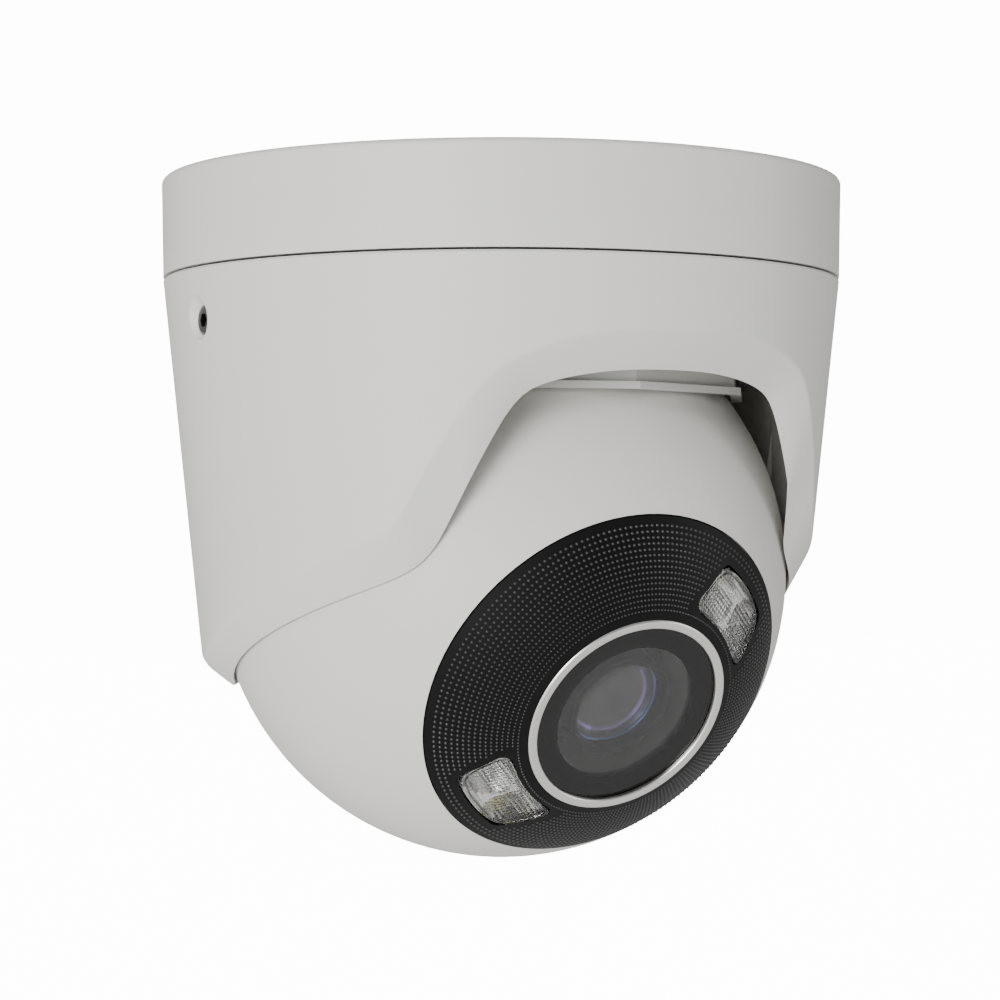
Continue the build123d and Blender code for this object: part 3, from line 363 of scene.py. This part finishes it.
def ringed(name, stops, roughness, transmission=0.0, metallic=0.0, coat=0.0):
    """A finish whose colour changes with the distance from the lens axis, in sharp rings."""
    material, tree, shader = start_material(name)
    radius = use_group(tree, radius_group).outputs["Radius"]
    reach = stops[-1][0]
    ramp = tree.nodes.new("ShaderNodeValToRGB")
    ramp.color_ramp.interpolation = "LINEAR"
    connect(tree, math_node(tree, "DIVIDE", radius, reach), ramp.inputs["Fac"])
    points = ramp.color_ramp.elements
    while len(points) < len(stops):
        points.new(0.5)
    for point, (distance, colour) in zip(points, stops):
        point.position = distance / reach
        point.color = (*colour, 1)
    grain = use_group(tree, grain_group, Drift=0.03, Scale=600.0, Roughness=roughness)
    connect(tree, ramp.outputs["Color"], grain.inputs["Colour"])
    connect(tree, grain.outputs["Colour"], shader.inputs["Base Color"])
    connect(tree, grain.outputs["Roughness"], shader.inputs["Roughness"])
    shader.inputs["Transmission Weight"].default_value = transmission
    shader.inputs["Metallic"].default_value = metallic
    shader.inputs["Coat Weight"].default_value = coat
    shader.inputs["IOR"].default_value = 1.47
    return material


def printed_board(name, mask, track):
    """Solder mask with copper tracks under it."""
    material, tree, shader = start_material(name)
    place = tree.nodes.new("ShaderNodeTexCoord")
    tracks = tree.nodes.new("ShaderNodeTexBrick")
    tracks.inputs["Scale"].default_value = 420.0
    tracks.inputs["Color1"].default_value = (*mask, 1)
    tracks.inputs["Color2"].default_value = (*[c * 1.3 for c in mask], 1)
    tracks.inputs["Mortar"].default_value = (*track, 1)
    tracks.inputs["Mortar Size"].default_value = 0.03
    connect(tree, place.outputs["Object"], tracks.inputs["Vector"])
    connect(tree, tracks.outputs["Color"], shader.inputs["Base Color"])
    shader.inputs["Roughness"].default_value = 0.35
    add_bump(tree, tracks.outputs["Fac"], shader, 0.2, 0.00003)
    return material


finishes = {
    "white_housing": moulded("housing_enamel", (0.66, 0.655, 0.625), 0.52, 2600.0, 0.22, 0.03,
                             worn=(0.74, 0.73, 0.70), specular=0.35),
    "grey_frame": moulded("chassis_plastic", (0.60, 0.60, 0.575), 0.5, 1800.0, 0.3, 0.05),
    "cast_aluminium": moulded("bare_casting", (0.62, 0.62, 0.61), 0.42, 1400.0, 0.5, 0.1, metallic=1.0),
    "black_face": moulded("face_black", (0.0035, 0.0035, 0.0036), 0.5, 3000.0, 0.2, 0.08,
                          worn=(0.012, 0.012, 0.012), specular=0.12),
    "black_rubber": moulded("seal_rubber", (0.012, 0.012, 0.012), 0.8, 1500.0, 0.6, 0.2, sheen=0.1),
    "grey_foam": moulded("gasket_foam", (0.09, 0.09, 0.088), 0.95, 1100.0, 1.0, 0.3, depth=0.00015),
    "satin_metal": machined("satin_ring", (0.72, 0.715, 0.69), 0.26),
    "steel": moulded("blackened_steel", (0.10, 0.10, 0.102), 0.35, 2000.0, 0.3, 0.15, metallic=1.0,
                     worn=(0.35, 0.35, 0.35)),
    "brass_post": machined("brass_post", (0.72, 0.5, 0.22), 0.3),
    "clear_glass": glazed("filter_clear", (0.93, 0.93, 0.93), 0.015),
    "clear_plastic": glazed("lamp_clear", (0.97, 0.97, 0.955), 0.07),
    "coated_glass": glazed("lens_coated", (0.8, 0.79, 0.84), 0.02),
    "filter_glass": glazed("filter_tint", (0.55, 0.75, 0.8), 0.02, film=420.0),
    "reflector": moulded("lamp_reflector", (0.95, 0.95, 0.93), 0.3, 1200.0, 0.15, 0.05, metallic=1.0),
    "circuit_board": printed_board("solder_mask", (0.012, 0.11, 0.035), (0.03, 0.2, 0.07)),
    "led_body": moulded("white_led", (0.75, 0.68, 0.28), 0.4, 2500.0, 0.2, 0.1),
    "ir_led_body": moulded("infrared_led", (0.03, 0.015, 0.03), 0.2, 2500.0, 0.2, 0.1),
    "chip": moulded("chip_resin", (0.02, 0.02, 0.021), 0.55, 3500.0, 0.3, 0.1),
    "sensor": moulded("sensor_die", (0.04, 0.05, 0.06), 0.12, 4000.0, 0.1, 0.1),
    "thermal": moulded("thermal_pad", (0.35, 0.4, 0.5), 0.85, 1200.0, 0.5, 0.1),
    "friction_plastic": moulded("friction_washer", (0.5, 0.49, 0.45), 0.45, 1600.0, 0.2, 0.05),
    "copper_coil": moulded("coil_copper", (0.75, 0.32, 0.16), 0.3, 900.0, 0.6, 0.1, metallic=1.0),
}

# finishes of single pieces: the window is printed black round its edge
window_print = ringed("window_printed", [
    (0.0, (0.9, 0.9, 0.9)),
    (11.5, (0.9, 0.9, 0.9)),
    (11.65, (0.012, 0.012, 0.012)),
    (16.0, (0.01, 0.01, 0.01)),
], 0.02, transmission=1.0)
# painted reflection: the violet and the blue ring that the coated glass deep in the barrel throws are
# painted into the colour of its wall
throat_painted_reflection = ringed("throat_painted_reflection", [
    (0.0, (0.01, 0.01, 0.01)),
    (5.3, (0.02, 0.01, 0.04)),
    (5.6, (0.30, 0.16, 0.62)),
    (5.95, (0.05, 0.04, 0.12)),
    (6.9, (0.04, 0.05, 0.09)),
    (7.15, (0.10, 0.30, 0.85)),
    (7.45, (0.25, 0.5, 1.0)),
    (7.55, (0.02, 0.02, 0.02)),
], 0.25, metallic=0.5, coat=0.3)
# the lamps' board has a black mask; the face's studs are glossier than the face, and their colour is
# painted a little lighter than the face's as a painted highlight
stud_gloss_and_painted_highlight = moulded("stud_gloss_and_painted_highlight", (0.02, 0.02, 0.02), 0.3, 3000.0, 0.1, 0.05, specular=0.6)
lamp_board = printed_board("lamp_board_mask", (0.006, 0.006, 0.006), (0.012, 0.012, 0.012))

slot_of = {part["node"]: part["material_slot"] for part in record["subparts"]}
for name, node in nodes.items():
    node.data.materials.clear()
    node.data.materials.append(finishes[slot_of[name]])
for name, finish in (("window_glass", window_print), ("led_board", lamp_board)):
    nodes[name].data.materials[0] = finish

# ---------------------------------------------------------------- camera, light and floor
camera_data = bpy.data.cameras.new("camera")
camera = bpy.data.objects.new("camera", camera_data)
bpy.context.collection.objects.link(camera)
camera.location = (-0.2252, -0.3808, -0.0563)
camera.rotation_mode = "QUATERNION"
camera.rotation_quaternion = Vector((0.5090, 0.8607, 0.0105)).to_track_quat("-Z", "Y")
camera_data.sensor_width = 36.0
camera_data.lens = 97.7
camera_data.shift_x = -0.0012
camera_data.shift_y = 0.00115
camera_data.clip_start = 0.01
bpy.context.scene.camera = camera


def soft_light(name, place, target, size, power, tint=(1, 1, 1)):
    """A square studio light at a place, turned to a target."""
    data = bpy.data.lights.new(name, "AREA")
    data.size = size
    data.energy = power
    data.color = tint
    light = bpy.data.objects.new(name, data)
    bpy.context.collection.objects.link(light)
    light.location = place
    light.rotation_mode = "QUATERNION"
    light.rotation_quaternion = (Vector(target) - Vector(place)).to_track_quat("-Z", "Y")
    return light


soft_light("key_light", (-1.45, -1.05, 0.2), (0, 0, -0.06), 0.9, 39.0, (1.0, 0.995, 0.985))
soft_light("side_light", (1.3, -0.9, 0.1), (0, 0, -0.06), 0.7, 5.0)


def seen_white(tree, shader, seen, lit):
    """White paper: very bright to the eye, and a softer light on the object."""
    path = tree.nodes.new("ShaderNodeLightPath")
    extra = math_node(tree, "MULTIPLY", path.outputs["Is Camera Ray"], seen - lit)
    connect(tree, math_node(tree, "ADD", extra, lit), shader)


world = bpy.data.worlds.new("studio")
world.use_nodes = True
sky = world.node_tree.nodes["Background"]
sky.inputs["Color"].default_value = (1.0, 1.0, 1.0, 1)
seen_white(world.node_tree, sky.inputs["Strength"], 14.0, 0.34)
bpy.context.scene.world = world

select_only(camera)
bpy.ops.mesh.primitive_plane_add(size=14.0, location=(0, 0, -0.42))
floor = bpy.context.object
floor.name = "studio_floor"
floor_finish, floor_tree, floor_shader = start_material("studio_paper")
floor_grain = use_group(floor_tree, grain_group, Colour=(0.93, 0.93, 0.93, 1), Drift=0.01,
                        Scale=300.0, Roughness=0.8)
connect(floor_tree, floor_grain.outputs["Colour"], floor_shader.inputs["Base Color"])
connect(floor_tree, floor_grain.outputs["Roughness"], floor_shader.inputs["Roughness"])
floor_shader.inputs["Emission Color"].default_value = (1, 1, 1, 1)
seen_white(floor_tree, floor_shader.inputs["Emission Strength"], 14.0, 0.3)
floor.data.materials.append(floor_finish)

# ---------------------------------------------------------------- turret cover
CONE_TOP_RADIUS = 54.74
CONE_TOP_Z = -16.15
CONE_TAPER = 0.104
CORNER_Z = -77.5
BOTTOM_Z = -81.4
WALL = 2.4
BORE = 48.7
SHELF_Z = -29.0
SOCKET_RADIUS = 46.65
CHEEK_START_Z = -49.0
CHEEK_TOP_Z = -59.0
CROWN_Z = -27.0
SEAM_GAP = 0.35
SEAL_RADIUS = 53.9
SEAL_DEPTH = 1.2
SOCKET_LIP = 0.6
CROWN_WIDTH = 6.4
# each edge of the opening: bow, corner, flare, level of the tilted cut, its tilt and the blend
OUTER_RIM = (0.00109, 32.5, 0.73, -70.4, 21.0, 0.8)
INNER_RIM = (0.00088, 27.9, 1.24, -75.0, 16.2, 3.5)
CORNER_SOFTNESS = 1.5
RIM_BEAD = 0.45
BEAD_CLEARANCE = 0.1
EAR_ROOM_START = 81
EAR_ROOM_RADIUS = 48.25
EAR_ROOM_LEVELS = (-69.25, -67, -65, -63.15, -61, -58.5, -56, -54)
CLIMB_STEPS = 60
LOCK_SCREW_Z = -24.2
LOCK_HOLE_RADIUS = 2.3
LOCK_RECESS_RADIUS = 3.9
LOCK_RECESS_DEPTH = 1.55
COVER_COLUMNS = 240
OUTER_ROWS = 26
INNER_ROWS = 12


def cone_radius(z):
    return CONE_TOP_RADIUS + CONE_TAPER * (z - CONE_TOP_Z)


def ball_slice(radius, z):
    """Radius, from the upright axis, of a ball about the ball centre at a height."""
    return math.sqrt(radius**2 - (z - BALL_CENTRE_Z) ** 2)


def soft_step(angle, corner, softness):
    return softness * math.log(1 + math.exp((angle - corner) / softness))


def soft_max(first, second, blend):
    return (first + second) / 2 + math.sqrt((first - second) ** 2 / 4 + blend**2)


def rim_height(angle, crown, bow, corner, flare, level, tilt, blend):
    """Height of one edge of the opening, at an angle from the front."""
    arch = crown - bow * angle**2.5 - flare * soft_step(angle, corner, CORNER_SOFTNESS)
    return soft_max(arch, level + tilt * math.cos(math.radians(angle)), blend)


def wall_inside(z):
    """Inner radius of the cover: a bore, a cone and the ball's socket."""
    if z > CHEEK_START_Z:
        return BORE
    cheek_top = ball_slice(SOCKET_RADIUS, CHEEK_TOP_Z)
    if z > CHEEK_TOP_Z:
        return BORE + (CHEEK_START_Z - z) / (CHEEK_START_Z - CHEEK_TOP_Z) * (cheek_top - BORE)
    return ball_slice(SOCKET_RADIUS, z)


def above_line(point, line):
    """How far a point of an upright section is above the opening's face."""
    (outer_r, outer_z), (inner_r, inner_z) = line
    return point[1] - outer_z - (point[0] - outer_r) * (outer_z - inner_z) / (outer_r - inner_r)


def cut_short(path, line):
    """The part of a downward path that lies above the opening's face."""
    kept = [path[0]]
    for last, point in zip(path, path[1:]):
        before, after = above_line(last, line), above_line(point, line)
        if after <= 0:
            share = before / (before - after)
            kept.append(tuple(a + share * (b - a) for a, b in zip(last, point)))
            return kept
        kept.append(point)
    return kept


def spread_along(path, count, crowd=1.0):
    """Points spread along a path, closer together towards its end if crowded."""
    lengths = [0.0]
    for last, point in zip(path, path[1:]):
        lengths.append(lengths[-1] + math.dist(last, point))
    points = []
    for i in range(count):
        goal = lengths[-1] * (1 - (1 - i / (count - 1)) ** crowd)
        k = max(j for j in range(len(path) - 1) if lengths[j] <= goal + 1e-9)
        share = (goal - lengths[k]) / max(lengths[k + 1] - lengths[k], 1e-9)
        points.append(tuple(a + share * (b - a) for a, b in zip(path[k], path[k + 1])))
    return points


def rounded(before, corner, after, radius, count=4):
    """A corner rounded off between its two neighbours."""
    start = Vector(corner) + (Vector(before) - Vector(corner)).normalized() * radius
    end = Vector(corner) + (Vector(after) - Vector(corner)).normalized() * radius
    points = []
    for i in range(count):
        t = i / (count - 1)
        points.append(tuple((1 - t) ** 2 * start + 2 * t * (1 - t) * Vector(corner) + t**2 * end))
    return points


socket_end = (ball_slice(SOCKET_RADIUS, BOTTOM_Z), BOTTOM_Z)
low_corner = (cone_radius(CORNER_Z), CORNER_Z)
lip_corner = (socket_end[0] + SOCKET_LIP, BOTTOM_Z)
outer_path = [(cone_radius(CONE_TOP_Z - SEAM_GAP), CONE_TOP_Z - SEAM_GAP)]
outer_path += [(cone_radius(z), z) for z in range(-20, -76, -5)]
outer_path += rounded(outer_path[-1], low_corner, lip_corner, 1.5, 6)
outer_path += [((low_corner[0] * (5 - i) + lip_corner[0] * i) / 5,
                (low_corner[1] * (5 - i) + lip_corner[1] * i) / 5) for i in (2, 3, 4, 5)]


def cover_section(angle):
    """Closed upright section of the cover at an angle from the front: the same points at every angle."""
    turn = min(angle, 360 - angle)
    outer_z = rim_height(turn, CROWN_Z, *OUTER_RIM)
    inner_z = rim_height(turn, CROWN_Z - CROWN_WIDTH, *INNER_RIM)
    inner_start = max(inner_z, BOTTOM_Z)
    line = (
        (cone_radius(max(outer_z, CORNER_Z)), outer_z),
        (wall_inside(inner_start), inner_z),
    )
    outside = cut_short(outer_path, line)
    edge = outside[-1]
    foot = (wall_inside(inner_start), inner_start)
    bead = min(RIM_BEAD, math.dist(edge, foot) * 0.3)
    while math.dist(outside[-2], edge) < bead + BEAD_CLEARANCE:
        outside.pop(-2)
    before_edge = Vector(edge) + (Vector(outside[-2]) - Vector(edge)).normalized() * bead
    near = spread_along(outside[:-1] + [tuple(before_edge)], OUTER_ROWS, 1.1)
    rows = [
        (SEAL_RADIUS, CONE_TOP_Z - SEAL_DEPTH),
        (SEAL_RADIUS, CONE_TOP_Z),
        (cone_radius(CONE_TOP_Z) - 0.3, CONE_TOP_Z),
    ]
    rows += near[:-1]
    rows += rounded(before_edge, edge, foot, bead)
    above = (wall_inside(inner_start + 1.0), inner_start + 1.0)
    rows += rounded(edge, foot, above, bead)
    if turn >= EAR_ROOM_START:
        # the cradle's ears run behind the cheeks, in a room cut out of the wall
        rows.append((ball_slice(SOCKET_RADIUS, EAR_ROOM_LEVELS[0]), EAR_ROOM_LEVELS[0]))
        rows += [(ball_slice(EAR_ROOM_RADIUS, z), z) for z in EAR_ROOM_LEVELS]
        rows += [(BORE, CHEEK_START_Z), (BORE, (CHEEK_START_Z + SHELF_Z) / 2), (BORE, SHELF_Z)]
    else:
        climb = []
        for i in range(CLIMB_STEPS + 1):
            z = inner_start + bead + (SHELF_Z - inner_start - bead) * i / CLIMB_STEPS
            climb.append((wall_inside(z), z))
        rows += spread_along(climb, INNER_ROWS + 1)[1:]
    rows.append((cone_radius(SHELF_Z) - WALL, SHELF_Z))
    rows.append((cone_radius(CONE_TOP_Z) - WALL, CONE_TOP_Z - SEAL_DEPTH))
    return rows


def make_cover():
    """The cover is a swept wall, so a grid is laid round the upright axis, section by section."""
    sections = [cover_section(i * 360 / COVER_COLUMNS) for i in range(COVER_COLUMNS)]
    height = len(sections[0])
    bpy.ops.mesh.primitive_grid_add(x_subdivisions=COVER_COLUMNS, y_subdivisions=height, size=0.1)
    cover = bpy.context.object
    for index, vertex in enumerate(cover.data.vertices):
        row, column = divmod(index, COVER_COLUMNS + 1)
        radius, z = sections[column % COVER_COLUMNS][row % height]
        turn = math.radians(column * 360 / COVER_COLUMNS - 90)
        vertex.co = (radius * math.cos(turn) * MM, radius * math.sin(turn) * MM, z * MM)
    close_up(cover, 0.002 * MM)
    sink_middle = cone_radius(LOCK_SCREW_Z) - 1.0 + LOCK_RECESS_DEPTH / 2
    for side in (1, -1):
        bpy.ops.mesh.primitive_cone_add(
            vertices=48, radius1=LOCK_HOLE_RADIUS * MM, radius2=LOCK_RECESS_RADIUS * MM,
            depth=LOCK_RECESS_DEPTH * MM,
            location=(side * sink_middle * MM, 0, LOCK_SCREW_Z * MM),
            rotation=(0, side * math.pi / 2, 0),
        )
        sink = bpy.context.object
        bpy.ops.mesh.primitive_cylinder_add(
            vertices=48, radius=LOCK_HOLE_RADIUS * MM, depth=8.0 * MM,
            location=(side * 51.0 * MM, 0, LOCK_SCREW_Z * MM), rotation=(0, math.pi / 2, 0),
        )
        bore = bpy.context.object
        combine(cover, "DIFFERENCE", bore)
        combine(cover, "DIFFERENCE", sink)
    smooth(cover, 32)
    return cover


cover = settle(make_cover(), "turret_cover", "turret", "white_housing")
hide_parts("cover_shell")


# ---------------------------------------------------------------- face: dots, trim ring, lamp windows
LED_TURNS = (45, 225)
LED_INNER = 19.0
LED_OUTER = 26.9
LED_INNER_SPREAD = 26.0
LED_OUTER_SPREAD = 14.5
PILLOWS_WIDE = 30
PILLOWS_HIGH = 18
PILLOW_PITCH = 0.64
PILLOW_MIDDLE = 23.2
DOT_RINGS = 16
FIRST_DOT_RING = 18.2
DOT_RING_STEP = 0.72
DOT_SHARE = 0.0108
DOTS_ROUND = 200


def near_lamp(x, y, margin):
    """True if a point of the face lies in a lamp window's outline, grown by a margin."""
    radius = math.hypot(x, y)
    if not LED_INNER - margin < radius < LED_OUTER + margin:
        return False
    share = (radius - LED_INNER) / (LED_OUTER - LED_INNER)
    spread = LED_INNER_SPREAD + share * (LED_OUTER_SPREAD - LED_INNER_SPREAD)
    spread += math.degrees(margin / radius)
    turn = math.degrees(math.atan2(y, x)) % 360
    return any(abs((turn - middle + 180) % 360 - 180) < spread for middle in LED_TURNS)


def make_dots():
    """One row of sixteen low studs, spun round the lens axis into two hundred rows."""
    studs = []
    for i in range(DOT_RINGS):
        radius = FIRST_DOT_RING + i * DOT_RING_STEP
        size = DOT_SHARE * radius
        lean = math.asin(radius / BEZEL_RADIUS)
        bpy.ops.mesh.primitive_cone_add(
            vertices=8, radius1=size * MM, radius2=size * 0.45 * MM, depth=0.3 * MM,
            end_fill_type="NGON", rotation=(0, lean, 0),
            location=(radius * MM, 0, on_ball(BEZEL_RADIUS, radius) * MM),
        )
        studs.append(bpy.context.object)
    select_only(*studs)
    bpy.ops.object.join()
    dots = bpy.context.object
    bpy.ops.object.transform_apply(location=True, rotation=True, scale=True)

    def spin_round():
        turn = 2 * math.pi * (DOTS_ROUND - 1) / DOTS_ROUND
        bpy.ops.mesh.spin(
            steps=DOTS_ROUND - 1, dupli=True, angle=turn, center=(0, 0, 0), axis=(0, 0, 1)
        )

    in_edit_mode(dots, spin_round)
    mesh = bmesh.new()
    mesh.from_mesh(dots.data)
    hidden = [f for f in mesh.faces if len(f.verts) == 8 and f.normal.z < 0]
    covered = set()
    for vertex in mesh.verts:
        if near_lamp(vertex.co.x / MM, vertex.co.y / MM, 0.55):
            covered.add(vertex)
    spread = list(covered)
    while spread:
        for edge in spread.pop().link_edges:
            for end in edge.verts:
                if end not in covered:
                    covered.add(end)
                    spread.append(end)
    bmesh.ops.delete(mesh, geom=[f for f in hidden if f.is_valid], context="FACES_ONLY")
    bmesh.ops.delete(mesh, geom=list(covered), context="VERTS")
    mesh.to_mesh(dots.data)
    mesh.free()
    smooth(dots, 75)
    return dots


# the studs carry a painted highlight: a colour a little lighter than the face's, on a glossier finish
settle(make_dots(), "bezel_dots", "ball", "black_face", FACE, stud_gloss_and_painted_highlight)

trim = turned([
    (16.8, 40.1), (16.8, 42.95), (16.72, 43.15), (16.55, 43.28), (16.3, 43.3), (15.75, 43.3),
    (15.5, 43.27), (15.36, 43.15), (15.3, 42.98), (15.3, 42.55), (15.72, 42.5), (15.72, 40.1),
])
smooth(trim, 50)
settle(trim, "window_trim", "ball", "satin_metal", FACE)
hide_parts("window_ring")


def lamp_outline(middle, shrink, steps=14):
    """Points round one lamp window: two arcs, with the corners rounded."""
    corners = []
    for radius, spread in (
        (LED_INNER + shrink, -1),
        (LED_INNER + shrink, 1),
        (LED_OUTER - shrink, 1),
        (LED_OUTER - shrink, -1),
    ):
        share = (radius - LED_INNER) / (LED_OUTER - LED_INNER)
        width = LED_INNER_SPREAD + share * (LED_OUTER_SPREAD - LED_INNER_SPREAD)
        corners.append((radius, spread * (width - math.degrees(shrink / radius))))
    points = []
    for i in range(4):
        (r0, t0), (r1, t1) = corners[i], corners[(i + 1) % 4]
        for j in range(steps):
            share = j / steps
            radius, turn = r0 + share * (r1 - r0), math.radians(middle + t0 + share * (t1 - t0))
            points.append(Vector((radius * math.cos(turn), radius * math.sin(turn), 0)))
    for _ in range(10):
        points = [(points[i - 1] + 2 * points[i] + points[(i + 1) % len(points)]) / 4
                  for i in range(len(points))]
    return points


def plug_of(points, low, high):
    """A straight-sided plug over an outline, between two distances along the lens."""
    mesh = bpy.data.meshes.new("plug")
    mesh.from_pydata([(p.x * MM, p.y * MM, low * MM) for p in points], [], [tuple(range(len(points)))])
    plug = bpy.data.objects.new("plug", mesh)
    bpy.context.collection.objects.link(plug)

    def raise_it():
        bpy.ops.mesh.extrude_region_move(TRANSFORM_OT_translate={"value": (0, 0, (high - low) * MM)})

    in_edit_mode(plug, raise_it)
    close_up(plug)
    return plug


def make_lamp_window(middle):
    """A clear window: a smooth rim, and a field of small pillow lenses inside it."""
    bpy.ops.mesh.primitive_grid_add(x_subdivisions=PILLOWS_WIDE, y_subdivisions=PILLOWS_HIGH, size=1.0)
    field = bpy.context.object
    place = Matrix.Rotation(math.radians(middle - 90), 4, "Z")
    place = place @ Matrix.Translation((0, PILLOW_MIDDLE * MM, 0))
    width = PILLOWS_WIDE * PILLOW_PITCH * MM
    height = PILLOWS_HIGH * PILLOW_PITCH * MM
    field.data.transform(place @ Matrix.Diagonal((width, height, 1, 1)))

    def pillows():
        bpy.ops.mesh.poke(offset=0.15 * MM)
        bpy.ops.mesh.select_all(action="SELECT")

    in_edit_mode(field, pillows)
    thick = field.modifiers.new("thickness", "SOLIDIFY")
    thick.thickness = 0.5 * MM
    thick.offset = -1.0
    apply_all(field)
    combine(field, "INTERSECT", plug_of(lamp_outline(middle, 0.75), -2.0, 2.0))
    frame_plug = plug_of(lamp_outline(middle, 0.12), -1.5, 0.12)
    rim = frame_plug.modifiers.new("rim", "BEVEL")
    rim.width = 0.22 * MM
    rim.segments = 3
    rim.limit_method = "ANGLE"
    rim.angle_limit = math.radians(50)
    apply_all(frame_plug)
    combine(frame_plug, "DIFFERENCE", plug_of(lamp_outline(middle, 0.7), -0.3, 1.0))
    combine(frame_plug, "UNION", field)
    for vertex in frame_plug.data.vertices:
        across = math.hypot(vertex.co.x, vertex.co.y) / MM
        vertex.co.z += (on_ball(BEZEL_RADIUS, across) - 0.15) * MM
    smooth(frame_plug, 28)
    return frame_plug


for middle, side_name in zip(LED_TURNS, ("upper", "lower")):
    window = settle(make_lamp_window(middle), f"lamp_window_{side_name}", "ball", "clear_plastic", FACE)
    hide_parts(f"led_window_{side_name}")

# ---------------------------------------------------------------- lens barrel and front lens
THROAT_START = 35.4
THROAT_RADIUS = 7.45
LENS_CURVE = 18.0
LENS_CURVE_CENTRE = 21.8
LENS_STEP = 0.7

barrel = turned([
    (7.5, 40.3), (7.6, 40.38), (8.3, 40.38), (8.5, 40.3), (8.65, 40.1), (8.65, 30.0), (6.0, 30.0),
    (6.0, 15.5), (4.4, 15.5), (4.4, 20.0), (5.3, 20.0), (5.3, 35.5), (5.9, 35.9), (5.9, 36.2),
    (6.9, 36.8), (6.9, 37.0), (7.5, 37.05),
])
smooth(barrel, 30)
settle(barrel, "turned_barrel", "ball", "black_face", FACE)
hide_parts("lens_barrel")
# the barrel's throat takes the painted reflection: the violet and blue rings of the lens coating,
# painted as colour
barrel.data.materials.append(throat_painted_reflection)
for polygon in barrel.data.polygons:
    spot = FACE.inverted() @ polygon.center
    if spot.z > THROAT_START * MM and math.hypot(spot.x, spot.y) < THROAT_RADIUS * MM:
        polygon.material_index = 1

front_lens = turned(
    [(0.0, 37.1), (7.2, 37.1), (7.4, 37.3), (7.4, 38.15), (7.3, 38.27)]
    + [(7.0 - i * LENS_STEP, LENS_CURVE_CENTRE + on_ball(LENS_CURVE, 7.0 - i * LENS_STEP))
       for i in range(11)],
    96,
)
smooth(front_lens, 40)
settle(front_lens, "front_lens", "ball", "coated_glass", FACE)
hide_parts("lens_front_element")
